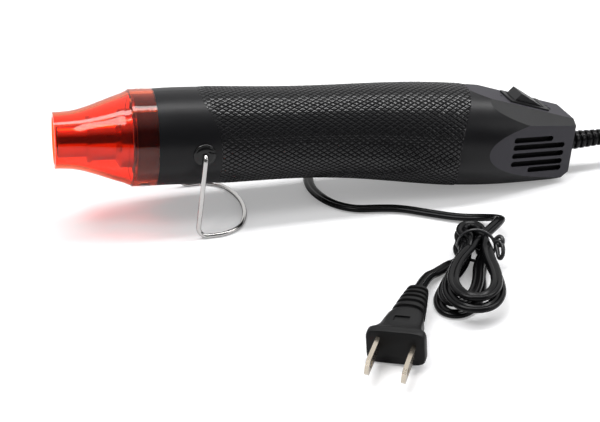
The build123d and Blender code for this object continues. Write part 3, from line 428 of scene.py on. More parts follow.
class StageSettings(bpy.types.PropertyGroup):
    """Camera, floor and lamps."""

    lens: FloatProperty(name="Lens", description="Focal length for a 36 mm sensor", default=72.0)
    eye: FloatVectorProperty(
        name="Eye", description="Where the camera stands", default=(-0.14427, -0.46021, 0.24145),
        unit="LENGTH", size=3,
    )
    yaw: FloatProperty(name="Yaw", description="Turn of the view to the right, in degrees", default=14.27)
    fall: FloatProperty(name="Fall", description="Downward tilt of the view, in degrees", default=27.51)
    floor_colour: FloatVectorProperty(
        name="Floor", description="Colour of the floor", subtype="COLOR", size=3, default=(0.78, 0.78, 0.79)
    )


def deselect():
    """Clears the selection, which the frame's import leaves full."""
    bpy.ops.object.select_all(action="DESELECT")


def add_group(name, inputs, outputs):
    """An empty shader group with named float inputs and outputs."""
    group = bpy.data.node_groups.new(name, "ShaderNodeTree")
    for label, value in inputs:
        socket = group.interface.new_socket(label, in_out="INPUT", socket_type="NodeSocketFloat")
        socket.default_value = value
    for label in outputs:
        group.interface.new_socket(label, in_out="OUTPUT", socket_type="NodeSocketFloat")
    entry = group.nodes.new("NodeGroupInput")
    leave = group.nodes.new("NodeGroupOutput")
    return group, entry, leave


def maths(tree, operation, first, second):
    """One Math node; each side is a socket or a number."""
    node = tree.nodes.new("ShaderNodeMath")
    node.operation = operation
    for socket, value in zip(node.inputs, (first, second)):
        if isinstance(value, (int, float)):
            socket.default_value = value
        else:
            tree.links.new(value, socket)
    return node.outputs[0]


def moulded_grain():
    """Fine texture of moulded plastic: a roughness round a middle, a height and a slow cloud."""
    group, entry, leave = add_group(
        "Moulded grain",
        [("Roughness", 0.4), ("Spread", 0.08), ("Grains per metre", 2500.0), ("Clouds per metre", 45.0)],
        ["Roughness", "Height", "Cloud"],
    )
    place = group.nodes.new("ShaderNodeTexCoord").outputs["Object"]
    grain = group.nodes.new("ShaderNodeTexNoise")
    grain.inputs["Detail"].default_value = 2.0
    cloud = group.nodes.new("ShaderNodeTexNoise")
    cloud.inputs["Detail"].default_value = 3.0
    for texture, scale in ((grain, "Grains per metre"), (cloud, "Clouds per metre")):
        group.links.new(place, texture.inputs["Vector"])
        group.links.new(entry.outputs[scale], texture.inputs["Scale"])
    mixed = maths(group, "ADD", grain.outputs["Fac"], cloud.outputs["Fac"])
    centred = maths(group, "SUBTRACT", mixed, 1.0)
    varied = maths(group, "MULTIPLY", centred, entry.outputs["Spread"])
    group.links.new(maths(group, "ADD", varied, entry.outputs["Roughness"]), leave.inputs["Roughness"])
    group.links.new(grain.outputs["Fac"], leave.inputs["Height"])
    group.links.new(cloud.outputs["Fac"], leave.inputs["Cloud"])
    return group


def drawn_lines():
    """Fine lines of drawn or turned metal along one axis: a roughness, a height and a cloud."""
    group, entry, leave = add_group(
        "Drawn lines",
        [("Roughness", 0.25), ("Spread", 0.1), ("Lines per metre", 4000.0), ("Stretch", 0.04)],
        ["Roughness", "Height", "Cloud"],
    )
    place = group.nodes.new("ShaderNodeTexCoord").outputs["Object"]
    split = group.nodes.new("ShaderNodeSeparateXYZ")
    join = group.nodes.new("ShaderNodeCombineXYZ")
    group.links.new(place, split.inputs[0])
    shortened = maths(group, "MULTIPLY", split.outputs["X"], entry.outputs["Stretch"])
    group.links.new(shortened, join.inputs["X"])
    group.links.new(split.outputs["Y"], join.inputs["Y"])
    group.links.new(split.outputs["Z"], join.inputs["Z"])
    lines = group.nodes.new("ShaderNodeTexNoise")
    lines.inputs["Detail"].default_value = 2.0
    group.links.new(join.outputs[0], lines.inputs["Vector"])
    group.links.new(entry.outputs["Lines per metre"], lines.inputs["Scale"])
    cloud = group.nodes.new("ShaderNodeTexNoise")
    cloud.inputs["Scale"].default_value = 60.0
    group.links.new(place, cloud.inputs["Vector"])
    centred = maths(group, "SUBTRACT", lines.outputs["Fac"], 0.5)
    varied = maths(group, "MULTIPLY", centred, entry.outputs["Spread"])
    group.links.new(maths(group, "ADD", varied, entry.outputs["Roughness"]), leave.inputs["Roughness"])
    group.links.new(lines.outputs["Fac"], leave.inputs["Height"])
    group.links.new(cloud.outputs["Fac"], leave.inputs["Cloud"])
    return group


def surface(
    name, colour, shade, roughness, relief, spread=0.1, group="Moulded grain", scale=2500.0, **sockets
):
    """A material whose colour drifts between two tones, with the group's roughness and relief.

    It is made once, so a second call with its name gives the same material."""
    if name in surfaces:
        return surfaces[name]
    material = bpy.data.materials.new(name)
    surfaces[name] = material
    material.use_nodes = True
    tree = material.node_tree
    shader = tree.nodes["Principled BSDF"]
    texture = tree.nodes.new("ShaderNodeGroup")
    texture.node_tree = bpy.data.node_groups[group]
    texture.inputs["Roughness"].default_value = roughness
    texture.inputs["Spread"].default_value = spread
    texture.inputs[2].default_value = scale
    tones = tree.nodes.new("ShaderNodeMix")
    tones.data_type = "RGBA"
    tones.inputs["A"].default_value = (*colour, 1)
    tones.inputs["B"].default_value = (*shade, 1)
    bump = tree.nodes.new("ShaderNodeBump")
    bump.inputs["Strength"].default_value = relief
    bump.inputs["Distance"].default_value = 0.1 * MM
    tree.links.new(texture.outputs["Cloud"], tones.inputs["Factor"])
    tree.links.new(tones.outputs["Result"], shader.inputs["Base Color"])
    tree.links.new(texture.outputs["Roughness"], shader.inputs["Roughness"])
    tree.links.new(texture.outputs["Height"], bump.inputs["Height"])
    tree.links.new(bump.outputs["Normal"], shader.inputs["Normal"])
    for label, value in sockets.items():
        shader.inputs[label.replace("_", " ").title().replace("Ior", "IOR")].default_value = value
    return material


def toned(colour, factor):
    """A colour made lighter or darker by a factor."""
    return tuple(min(1.0, channel * factor) for channel in colour)


def shell_black():
    """Satin black of the barrel."""
    look = bpy.context.scene.heat_housing
    colour = tuple(look.shell_colour)
    return surface(
        "shell_black", colour, toned(colour, 1.3), roughness=look.shell_roughness, relief=0.16,
        scale=2600.0, specular_ior_level=0.22,
    )


def flat_grey():
    """Matte finish of the vent facets and the deck."""
    colour = tuple(bpy.context.scene.heat_housing.facet_colour)
    return surface(
        "flat_grey", colour, toned(colour, 1.15), roughness=0.6, relief=0.25, scale=2600.0,
        specular_ior_level=0.3,
    )


def grip_black():
    """Polished tops of the cross-cut grip."""
    colour = tuple(bpy.context.scene.heat_housing.shell_colour)
    return surface(
        "grip_black", colour, toned(colour, 1.3), roughness=0.2, relief=0.08, scale=2600.0,
        specular_ior_level=0.46,
    )


def groove_painted_shade():
    """Dull black of the cuts between the grip's pads, its colour darkened to 0.6 of the shell as painted
    shade in the cuts.
    """
    colour = toned(tuple(bpy.context.scene.heat_housing.shell_colour), 0.6)
    return surface(
        "groove_painted_shade", colour, toned(colour, 1.5), roughness=0.6, relief=0.1, specular_ior_level=0.15,
    )


def inside_black():
    """Dull black of hidden mouldings, the board's parts and the leads."""
    return surface(
        "inside_black", (0.004, 0.004, 0.0042), (0.006, 0.006, 0.006), roughness=0.65, relief=0.2,
        specular_ior_level=0.1,
    )


def switch_black():
    """Satin black of the rocker, its case and the marks beside it."""
    return surface(
        "switch_black", (0.009, 0.009, 0.01), (0.013, 0.013, 0.014), roughness=0.38, relief=0.12,
        specular_ior_level=0.25,
    )


def bush_black():
    """Glossy black of the two pivot bushes."""
    return surface(
        "bush_black", (0.004, 0.004, 0.0045), (0.006, 0.006, 0.006), roughness=0.1, relief=0.02,
        specular_ior_level=0.35,
    )


def cord_black():
    """Soft glossy black of the cord and its boot."""
    return surface(
        "cord_black", (0.0035, 0.0035, 0.0038), (0.005, 0.005, 0.0055), roughness=0.2, relief=0.012,
        scale=900.0, spread=0.04, specular_ior_level=0.14,
    )


def plug_black():
    """Satin black of the moulded plug."""
    return surface(
        "plug_black", (0.0055, 0.0055, 0.0058), (0.008, 0.008, 0.0083), roughness=0.4, relief=0.2,
        scale=2200.0, specular_ior_level=0.16,
    )


def tie_black():
    """Glossy plastic over the tie's wire."""
    return surface(
        "tie_black", (0.012, 0.012, 0.013), (0.03, 0.03, 0.032), roughness=0.2, relief=0.1, scale=1200.0,
    )


def chrome_wire():
    """Polished plating of the stand, the collar screws and the cutout."""
    return surface(
        "chrome_wire", (0.58, 0.57, 0.56), (0.5, 0.49, 0.48), roughness=0.16, relief=0.004, spread=0.04,
        group="Drawn lines", metallic=1.0,
    )


def screw_steel():
    """Plated steel of screws, pins and the shaft."""
    return surface(
        "screw_steel", (0.5, 0.5, 0.52), (0.4, 0.4, 0.42), roughness=0.3, relief=0.06,
        group="Drawn lines", metallic=1.0,
    )


def nozzle_steel():
    """Bright drawn steel of the outlet tube and the liner."""
    return surface(
        "nozzle_steel", (0.74, 0.62, 0.46), (0.52, 0.42, 0.3), roughness=0.18, relief=0.05,
        group="Drawn lines", metallic=1.0,
    )


def motor_steel():
    """Plated steel of the motor's can."""
    return surface(
        "motor_steel", (0.2, 0.2, 0.21), (0.14, 0.14, 0.15), roughness=0.42, relief=0.05,
        group="Drawn lines", metallic=1.0,
    )


def hot_wire():
    """Dull oxidised heating wire."""
    return surface(
        "hot_wire", (0.3, 0.27, 0.25), (0.2, 0.17, 0.16), roughness=0.5, relief=0.1, group="Drawn lines",
        metallic=1.0,
    )


def mica_sheet():
    """Flaky amber mica."""
    return surface(
        "mica_sheet", (0.55, 0.44, 0.26), (0.66, 0.56, 0.38), roughness=0.45, relief=0.3, scale=700.0,
    )


def white_ceramic():
    """Unglazed ceramic rings."""
    return surface(
        "white_ceramic", (0.74, 0.71, 0.65), (0.66, 0.62, 0.55), roughness=0.7, relief=0.3, scale=1800.0,
    )


def fan_cream():
    """Cream plastic of the impeller."""
    return surface("fan_cream", (0.66, 0.64, 0.58), (0.6, 0.58, 0.52), roughness=0.35, relief=0.08)


def board_green():
    """Lacquered circuit board."""
    return surface(
        "board_green", (0.01, 0.035, 0.014), (0.014, 0.045, 0.018), roughness=0.3, relief=0.1,
        scale=900.0,
    )


def tab_brass():
    """Plain brass of the switch tabs."""
    return surface(
        "tab_brass", (0.62, 0.46, 0.2), (0.52, 0.38, 0.16), roughness=0.3, relief=0.05,
        group="Drawn lines", metallic=1.0,
    )


def blade_plating():
    """Nickel-plated brass of the plug's blades."""
    return surface(
        "blade_plating", (0.62, 0.56, 0.47), (0.54, 0.47, 0.38), roughness=0.24, relief=0.015,
        group="Drawn lines", metallic=1.0,
    )


def clear_red():
    """Clear red cover: tinted glass that lets lamps through as red light."""
    material = surface(
        "clear_red", (1.0, 0.125, 0.03), (1.0, 0.16, 0.04), roughness=0.05, relief=0.02, spread=0.03,
        scale=300.0, transmission_weight=1.0, ior=1.45, specular_ior_level=0.2,
    )
    tree = material.node_tree
    shader = tree.nodes["Principled BSDF"]
    output = tree.nodes["Material Output"]
    path = tree.nodes.new("ShaderNodeLightPath")
    film = tree.nodes.new("ShaderNodeBsdfTransparent")
    film.inputs["Color"].default_value = (1.0, 0.13, 0.08, 1)
    mix = tree.nodes.new("ShaderNodeMixShader")
    tree.links.new(path.outputs["Is Shadow Ray"], mix.inputs["Fac"])
    tree.links.new(shader.outputs["BSDF"], mix.inputs[1])
    tree.links.new(film.outputs["BSDF"], mix.inputs[2])
    tree.links.new(mix.outputs["Shader"], output.inputs["Surface"])
    return material


def dress(material, *nodes):
    """Gives one material to several nodes of the frame."""
    for name in nodes:
        data = frame["nodes"][name].data
        data.materials.clear()
        data.materials.append(material)


def shell_tree():
    """Both housing halves as one tree for rays."""
    corners = []
    faces = []
    for name in ("left_shell", "right_shell"):
        mesh = frame["nodes"][name].data
        start = len(corners)
        corners += [vertex.co.copy() for vertex in mesh.vertices]
        faces += [[start + index for index in face.vertices] for face in mesh.polygons]
    return BVHTree.FromPolygons(corners, faces)


def finish_piece(piece, name, body, slot, *materials):
    """Names a finished mesh, bakes its place, dresses it, and puts it on its body."""
    piece.name = name
    piece.data.name = name
    piece.data.transform(piece.matrix_world)
    piece.matrix_world = Matrix.Identity(4)
    while len(piece.data.materials):
        piece.data.materials.pop()
    for material in materials:
        piece.data.materials.append(material)
    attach(piece, body)
    piece.select_set(False)
    return piece


def dress_housing():
    """Satin barrel, matte flats on the tail: the deck and the two vent facets."""
    smooth = shell_black()
    matte = flat_grey()
    deck = math.radians(DECK_SLOPE)
    facet = math.radians(FACET_ANGLE)
    ways = [(math.sin(deck), 0, math.cos(deck))]
    ways += [(math.sin(facet), side * math.cos(facet), 0) for side in (1, -1)]
    flats = [tool_place.to_3x3() @ Vector(way) for way in ways]
    for name in ("left_shell", "right_shell"):
        mesh = frame["nodes"][name].data
        mesh.materials.clear()
        mesh.materials.append(smooth)
        mesh.materials.append(matte)
        for face in mesh.polygons:
            if any(face.normal.dot(way) > SAME_WAY for way in flats):
                face.material_index = 1


def shade_sheet_black():
    """Dark sheet behind the vents: painted shade that keeps the slots black."""
    return surface(
        "shade_sheet_black", (0.006, 0.006, 0.0062), (0.011, 0.011, 0.0112), roughness=0.9, relief=0.8,
        scale=1800.0, specular_ior_level=0.05,
    )


def make_shade_sheet(side, name, material):
    """One thin dark sheet against the wall behind the vents, painted shade that keeps the slots black."""
    turn = math.radians(FACET_ANGLE)
    facet_y = TAIL_HALF_WIDTH + (TAIL_END - SHADE_SHEET_STATION) * math.tan(turn)
    sheet_y = facet_y - (SHADE_SHEET_DEPTH + SHADE_SHEET_THICKNESS / 2) / math.cos(turn)
    deselect()
    bpy.ops.mesh.primitive_cube_add(
        size=1, location=(0, 0, 0), scale=(SHADE_SHEET_LENGTH, SHADE_SHEET_THICKNESS, SHADE_SHEET_HEIGHT)
    )
    shade_sheet = bpy.context.object
    bpy.ops.object.transform_apply(location=True, rotation=True, scale=True)
    bpy.ops.object.mode_set(mode="EDIT")
    bpy.ops.mesh.bevel(offset=SHADE_SHEET_ROUNDING, segments=2)
    bpy.ops.object.mode_set(mode="OBJECT")
    shade_sheet.matrix_world = (
        tool_place
        @ Matrix.Translation((SHADE_SHEET_STATION, side * sheet_y, SHADE_SHEET_LEVEL))
        @ Matrix.Rotation(-side * turn, 4, "Z")
    )
    return finish_piece(shade_sheet, name, "housing", "inner_plastic", material)


def grip_limits(angle):
    """Front and rear station of the grip at an angle from the top."""
    grip = bpy.context.scene.heat_grip
    top = max(0.0, math.cos(angle)) ** 2
    under = max(0.0, -math.cos(angle)) ** 2
    front = grip.side_front - grip.top_front_reach * top
    return front, grip.side_rear + grip.top_rear_reach * top + grip.under_rear_reach * under


def grip_sheet():
    """Flat sheet of diamond pads: one pair modelled, then set out by two arrays."""
    grip = bpy.context.scene.heat_grip
    length = grip.pad_length
    front = grip.side_front - grip.top_front_reach - length
    rear = grip.side_rear + grip.top_rear_reach + length
    rows = math.ceil((rear - front) / length)
    deselect()
    bpy.ops.mesh.primitive_circle_add(vertices=4, radius=length / 2, fill_type="NGON", location=(0, 0, 0))
    sheet = bpy.context.object
    bpy.ops.object.mode_set(mode="EDIT")
    bpy.ops.transform.resize(value=(1, PAD_WIDTH, 1))
    bpy.ops.mesh.inset(thickness=grip.groove_share * length * PAD_HALF)
    bpy.ops.transform.translate(value=(0, 0, SLOPE_RISE * grip.groove_depth))
    bpy.ops.mesh.inset(thickness=PAD_RIM * grip.groove_share * length)
    bpy.ops.transform.translate(value=(0, 0, (1 - SLOPE_RISE) * grip.groove_depth))
    bpy.ops.object.mode_set(mode="OBJECT")
    # Faces in the cuts take the second material, whose darker colour is painted shade
    for face in sheet.data.polygons:
        face.material_index = 1 if face.center.xy.length > CUT_FROM * PAD_WIDTH * length else 0
    bpy.ops.object.mode_set(mode="EDIT")
    bpy.ops.mesh.select_all(action="SELECT")
    bpy.ops.mesh.duplicate_move(TRANSFORM_OT_translate={"value": (length / 2, PAD_WIDTH * length / 2, 0)})
    bpy.ops.object.mode_set(mode="OBJECT")
    for count, step in ((rows, (length, 0, 0)), (grip.pads_round, (0, PAD_WIDTH * length, 0))):
        array = sheet.modifiers.new("row", "ARRAY")
        array.count = count
        array.use_relative_offset = False
        array.use_constant_offset = True
        array.constant_offset_displace = step
        bpy.ops.object.modifier_apply(modifier=array.name)
    for vertex in sheet.data.vertices:
        vertex.co.x += front
        vertex.co.y *= math.tau / (grip.pads_round * PAD_WIDTH * length)
    return sheet


def section_centres(tree, front, rear, count=60):
    """Height of the housing's middle at even stations, from rays up and down."""
    centres = []
    for index in range(count + 1):
        x = front + (rear - front) * index / count
        heights = []
        for way in (1, -1):
            start = tool_place @ Vector((x, BESIDE_SEAM, way * RAY_START))
            hit = tree.ray_cast(start, -way * upward)[0]
            heights.append((tool_place.inverted() @ hit).z)
        centres.append(sum(heights) / 2)
    return centres


def wrap_grip(sheet):
    """Lays the pads on the housing, between the grip's borders."""
    grip = bpy.context.scene.heat_grip
    tree = shell_tree()
    front = grip.side_front - 2 * grip.top_front_reach
    rear = grip.side_rear + 2 * grip.top_rear_reach
    centres = section_centres(tree, front, rear)
    work = bmesh.new()
    work.from_mesh(sheet.data)
    inside = {}
    for vertex in work.verts:
        low, high = grip_limits(vertex.co.y)
        inside[vertex] = low < vertex.co.x < high
    outside = [face for face in work.faces if not any(inside[vertex] for vertex in face.verts)]
    bmesh.ops.delete(work, geom=outside, context="FACES")
    for vertex in work.verts:
        low, high = grip_limits(vertex.co.y)
        angle = vertex.co.y
        x = min(max(vertex.co.x, low), high)
        height = vertex.co.z * min(1.0, (x - low) / grip.front_fade) if inside[vertex] else 0.0
        share = (x - front) / (rear - front) * (len(centres) - 1)
        index = min(int(share), len(centres) - 2)
        middle = centres[index] + (share - index) * (centres[index + 1] - centres[index])
        way = Vector((0, -math.sin(angle), math.cos(angle)))
        start = tool_place @ (Vector((x, 0, middle)) + RAY_START * way)
        hit = tree.ray_cast(start, tool_place.to_3x3() @ -way)[0]
        vertex.co = hit + tool_place.to_3x3() @ way * (PAD_CLEARANCE + height)
    bmesh.ops.remove_doubles(work, verts=work.verts, dist=MERGE_WITHIN)
    bmesh.ops.recalc_face_normals(work, faces=work.faces)
    work.to_mesh(sheet.data)
    work.free()


def make_grip():
    """The cross-cut grip skin."""
    sheet = grip_sheet()
    wrap_grip(sheet)
    return finish_piece(sheet, "grip_pads", "housing", "black_plastic", grip_black(), groove_painted_shade())


def hank_place():
    """Frame of the hank on the floor: x from its waist to its loops, y across."""
    return Matrix.Translation(HANK_MIDDLE) @ Matrix.Rotation(math.radians(HANK_TURN), 4, "Z")


def hank_points():
    """Control points of the hank, from the plug's side to the run's side."""
    cord = bpy.context.scene.heat_cord
    base = HANK_CLEARANCE + cord.thickness / 2
    points = []
    for layer, (reach, side, lean, bow, bow_side) in enumerate(LOOPS):
        outer = layer % 2 == 0
        z = base + layer * cord.layer
        waist = cord.half_waist + (cord.waist_step if outer else 0)
        middle = cord.half_waist + cord.waist_step / 2
        points.append(Vector((0, -waist, z)))
        points += [Vector((u * bow * MM, v * bow_side * MM - BOW_SHIFT, z)) for u, v in BOW_SHARES]
        points.append(Vector((0, middle, z)))
        for u, v in LOOP_SHARES:
            sag = min(1.0, u) * LOOP_SAG
            points.append(Vector((u * reach * MM, (v * side + lean * min(1.0, u)) * MM, z - sag)))
    return [hank_place() @ point for point in points]


def boot_end():
    """Middle of the boot's outer end, where the cord leaves it."""
    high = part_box("cord_boot")[1]
    return Vector((high.x, 0, (tool_place @ Vector((TAIL_END, 0, CORD_LEVEL))).z))


def cord_route():
    """The whole cord's control points, from the boot to the plug."""
    start = boot_end()
    run = [start, start + Vector((STRAIGHT_OUT, 0, 0))] + [Vector(point) for point in CORD_RUN]
    return run + list(reversed(hank_points())) + [Vector(point) for point in PLUG_RUN] + [Vector(PLUG_END)]


def nurbs_line(points, steps):
    """Points along a smooth NURBS line with these control points."""
    curve = bpy.data.curves.new("route", "CURVE")
    curve.dimensions = "3D"
    spline = curve.splines.new("NURBS")
    spline.points.add(len(points) - 1)
    for knot, point in zip(spline.points, points):
        knot.co = (*point, 1)
    spline.order_u = 3
    spline.use_endpoint_u = True
    spline.resolution_u = steps
    curve.resolution_u = steps
    route = bpy.data.objects.new("route", curve)
    mesh = bpy.data.meshes.new_from_object(route)
    line = [vertex.co.copy() for vertex in mesh.vertices]
    bpy.data.objects.remove(route)
    bpy.data.curves.remove(curve)
    bpy.data.meshes.remove(mesh)
    return line


def twin_section(width, thickness, count=9):
    """Outline of two cores side by side, joined by a web."""
    radius = thickness / 2
    reach = width / 2 - radius
    gap = math.acos(reach / radius) if reach < radius else 0.0
    outline = []
    for side in (1, -1):
        for index in range(count):
            angle = (math.pi - gap) * (2 * index / (count - 1) - 1)
            outline.append((side * (reach + radius * math.cos(angle)), side * radius * math.sin(angle)))
    return outline


def sweep_section(name, line, outline):
    """Closed mesh of an outline carried along a line, flat side up but turned on edge at the waist."""
    work = bmesh.new()
    rings = []
    for index, point in enumerate(line):
        ahead = line[min(index + 1, len(line) - 1)] - line[max(index - 1, 0)]
        ahead.normalize()
        side = ahead.cross(Vector((0, 0, 1))).normalized()
        turn = Matrix.Rotation(waist_roll(point), 3, ahead)
        side = turn @ side
        lift = side.cross(ahead)
        rings.append([work.verts.new(point + side * x + lift * y) for x, y in outline])
    for ring, after in zip(rings, rings[1:]):
        for index in range(len(outline)):
            following = (index + 1) % len(outline)
            work.faces.new((ring[index], ring[following], after[following], after[index]))
    work.faces.new(reversed(rings[0]))
    work.faces.new(rings[-1])
    bmesh.ops.recalc_face_normals(work, faces=work.faces)
    mesh = bpy.data.meshes.new(name)
    work.to_mesh(mesh)
    work.free()
    for face in mesh.polygons:
        face.use_smooth = True
    piece = bpy.data.objects.new(name, mesh)
    bpy.context.scene.collection.objects.link(piece)
    return piece


def waist_roll(point):
    """Turn of the cord on its edge where the tie draws the hank's strands together."""
    place = hank_place().inverted() @ point
    near = max(0.0, 1 - abs(place.x - WAIST_MIDDLE) / WAIST_REACH)
    if abs(place.y) > 2 * WAIST_REACH:
        return 0.0
    return math.radians(WAIST_ROLL) * near * near * (3 - 2 * near)


def make_cord():
    """The flat twin cord in one piece, from the boot through the hank to the plug."""
    cord = bpy.context.scene.heat_cord
    line = nurbs_line(cord_route(), LINE_STEPS)
    piece = sweep_section("cord", line, twin_section(cord.width, cord.thickness))
    finish_piece(piece, "cord", "housing", "cord_rubber", cord_black())
    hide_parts("cord_run", "cord_hank", "plug_lead")
    with_pieces = [make_plug(), make_tie(), make_boot(), frame["nodes"]["plug_blades"]]
    return piece


def plug_place():
    """Frame of the plug: z from the cord to the blades, x across the blades, y up."""
    lie = Matrix.Translation(PLUG_END) @ Matrix.Rotation(math.radians(PLUG_TURN), 4, "Z")
    rolled = lie @ Matrix.Rotation(math.radians(PLUG_LIFT), 4, "X")
    return rolled @ Matrix(((0, 0, 1, 0), (1, 0, 0, 0), (0, 1, 0, 0), (0, 0, 0, 1)))


def rounded(angle, power):
    """Point at an angle of a rounded square of half side one."""
    c, s = math.cos(angle), math.sin(angle)
    return math.copysign(abs(c) ** (2 / power), c), math.copysign(abs(s) ** (2 / power), s)


def outline_reach(angle, power):
    """How far from the middle the outline of a rounded square is at an angle."""
    return (abs(math.cos(angle)) ** power + abs(math.sin(angle)) ** power) ** (-1 / power)


def sink_panel(plug):
    """Cuts a shallow rectangular panel into the top of the plug's body."""
    deselect()
    bpy.ops.mesh.primitive_cube_add(
        size=1 * MM, location=(0, PANEL_LEVEL * MM, PANEL_STATION * MM),
        scale=(PANEL_WIDTH, 2 * PANEL_DEPTH, PANEL_LENGTH),
    )
    cutter = bpy.context.object
    deselect()
    bpy.context.view_layer.objects.active = plug
    plug.select_set(True)
    cut = plug.modifiers.new("panel", "BOOLEAN")
    cut.object = cutter
    cut.operation = "DIFFERENCE"
    cut.solver = "EXACT"
    bpy.ops.object.modifier_apply(modifier=cut.name)
    bpy.data.objects.remove(cutter)


def make_plug():
    """The plug: ribbed boot, waisted body and rounded flange in one loft."""
    deselect()
    bpy.ops.mesh.primitive_circle_add(
        vertices=PLUG_CORNERS, radius=1 * MM, fill_type="NGON", location=(0, 0, 0)
    )
    plug = bpy.context.object
    start, wide, high = PLUG_SECTIONS[0]
    for vertex in plug.data.vertices:
        x, y = rounded(math.atan2(vertex.co.y, vertex.co.x), ROUND_POWER)
        vertex.co = Vector((x * wide, y * high, start)) * MM
    bpy.ops.object.mode_set(mode="EDIT")
    for (low, wide, high), (top, wider, higher) in zip(PLUG_SECTIONS, PLUG_SECTIONS[1:]):
        bpy.ops.mesh.extrude_region_move(TRANSFORM_OT_translate={"value": (0, 0, (top - low) * MM)})
        bpy.ops.transform.resize(value=(wider / wide, higher / high, 1))
    bpy.ops.mesh.select_all(action="SELECT")
    bpy.ops.mesh.normals_make_consistent(inside=False)
    bpy.ops.object.mode_set(mode="OBJECT")
    for vertex in plug.data.vertices:
        square = min(1.0, (vertex.co.z / MM - SQUARE_FROM) / SQUARE_OVER)
        if square > 0:
            angle = math.atan2(vertex.co.y / high, vertex.co.x / wide)
            wider_by = outline_reach(angle, ROUND_POWER + POWER_GAIN * square)
            wider_by /= outline_reach(angle, ROUND_POWER)
            vertex.co.x *= wider_by
            vertex.co.y *= wider_by
    sink_panel(plug)
    bpy.ops.object.shade_smooth_by_angle(angle=math.radians(PLUG_EDGE))
    plug.matrix_world = plug_place()
    finish_piece(plug, "plug_moulding", "housing", "plug_plastic", plug_black())
    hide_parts("plug_body")
    return plug


def wire_loop(name, points, radius, closed):
    """Mesh of a round wire along a smooth line with these control points."""
    curve = bpy.data.curves.new(name, "CURVE")
    curve.dimensions = "3D"
    spline = curve.splines.new("NURBS")
    spline.points.add(len(points) - 1)
    for knot, point in zip(spline.points, points):
        knot.co = (*point, 1)
    spline.order_u = 4
    spline.use_cyclic_u = closed
    spline.use_endpoint_u = not closed
    curve.resolution_u = WIRE_STEPS
    curve.bevel_depth = radius
    curve.bevel_resolution = WIRE_SIDES
    curve.use_fill_caps = not closed
    source = bpy.data.objects.new(name, curve)
    mesh = bpy.data.meshes.new_from_object(source)
    bpy.data.objects.remove(source)
    piece = bpy.data.objects.new(name, mesh)
    bpy.context.scene.collection.objects.link(piece)
    return piece


def extrude_rings(first, sections):
    """Extrudes the active object's face along z through sections of a height and a size."""
    height, size = first
    bpy.ops.object.mode_set(mode="EDIT")
    for top, wide in sections:
        bpy.ops.mesh.extrude_region_move(TRANSFORM_OT_translate={"value": (0, 0, top - height)})
        bpy.ops.transform.resize(value=(wide / size, wide / size, 1))
        height, size = top, wide
    bpy.ops.mesh.select_all(action="SELECT")
    bpy.ops.mesh.normals_make_consistent(inside=False)
    bpy.ops.object.mode_set(mode="OBJECT")


def make_dome(side, name, material):
    """Low glossy dome on the face of one pivot bush, with a dimple that the wire comes out of."""
    deselect()
    bpy.ops.mesh.primitive_circle_add(
        vertices=DOME_CORNERS, radius=DOME_RADIUS * MM, fill_type="NGON", location=(0, 0, 0)
    )
    dome = bpy.context.object
    extrude_rings((0, DOME_RADIUS * MM), [(height * MM, radius * MM) for height, radius in DOME_RINGS])
    bpy.ops.object.shade_smooth_by_angle(angle=math.radians(DOME_EDGE))
    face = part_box("pivot_bushes")[1].y
    dome.matrix_world = (
        Matrix.Translation((pivot.x, side * face, pivot.z))
        @ Matrix.Rotation(-side * math.pi / 2, 4, "X")
    )
    return finish_piece(dome, name, "housing", "black_gloss", material)


def make_boot():
    """Ribbed strain relief: rounded discs with deep gaps on a tapering core."""
    sections = []
    for index in range(BOOT_RIBS):
        for share, size in RIB_SHARES:
            place = (index + share) / BOOT_RIBS
            radius = BOOT_ROOT + (BOOT_TIP - BOOT_ROOT) * place
            sections.append((place * BOOT_LENGTH, radius * size))
    sections.append((BOOT_LENGTH, BOOT_TIP * CORE_SHARE))
    deselect()
    bpy.ops.mesh.primitive_circle_add(
        vertices=BOOT_CORNERS, radius=BOOT_ROOT * CORE_START, fill_type="NGON", location=(0, 0, -BOOT_SINK)
    )
    boot = bpy.context.object
    bpy.ops.object.transform_apply(location=True, rotation=True, scale=True)
    extrude_rings((-BOOT_SINK, BOOT_ROOT * CORE_START), sections)
    bpy.ops.object.shade_smooth_by_angle(angle=math.radians(BOOT_EDGE))
    root = boot_end() - Vector((BOOT_LENGTH, 0, 0))
    boot.matrix_world = Matrix.Translation(root) @ Matrix.Rotation(math.pi / 2, 4, "Y")
    finish_piece(boot, "strain_relief", "housing", "cord_rubber", cord_black())
    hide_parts("cord_boot")
    return boot


def make_tie():
    """Thin wire tie round the waist of the hank, its ends twisted into two small loops."""
    ring = []
    for index in range(TIE_POINTS):
        angle = math.tau * index / TIE_POINTS
        sway = TIE_SWAY * math.sin(3 * angle)
        level = TIE_LEVEL + TIE_HALF_HEIGHT * math.sin(angle)
        ring.append((sway, TIE_HALF_WIDTH * math.cos(angle), level))
    wires = (
        (ring, TIE_RING_RADIUS, True),
        (TIE_LONG_END, TIE_END_RADIUS, False),
        (TIE_SHORT_END, TIE_END_RADIUS, False),
    )
    place = hank_place()
    parts = []
    for points, radius, closed in wires:
        placed = [place @ (Vector(point) * MM) for point in points]
        parts.append(wire_loop("hank_wire", placed, radius * MM, closed))
    deselect()
    for part in parts:
        part.select_set(True)
    bpy.context.view_layer.objects.active = parts[0]
    bpy.ops.object.join()
    bpy.ops.object.shade_smooth()
    tie = bpy.context.object
    finish_piece(tie, "hank_wire", "housing", "tie_plastic", tie_black())
    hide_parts("hank_tie")
    return tie


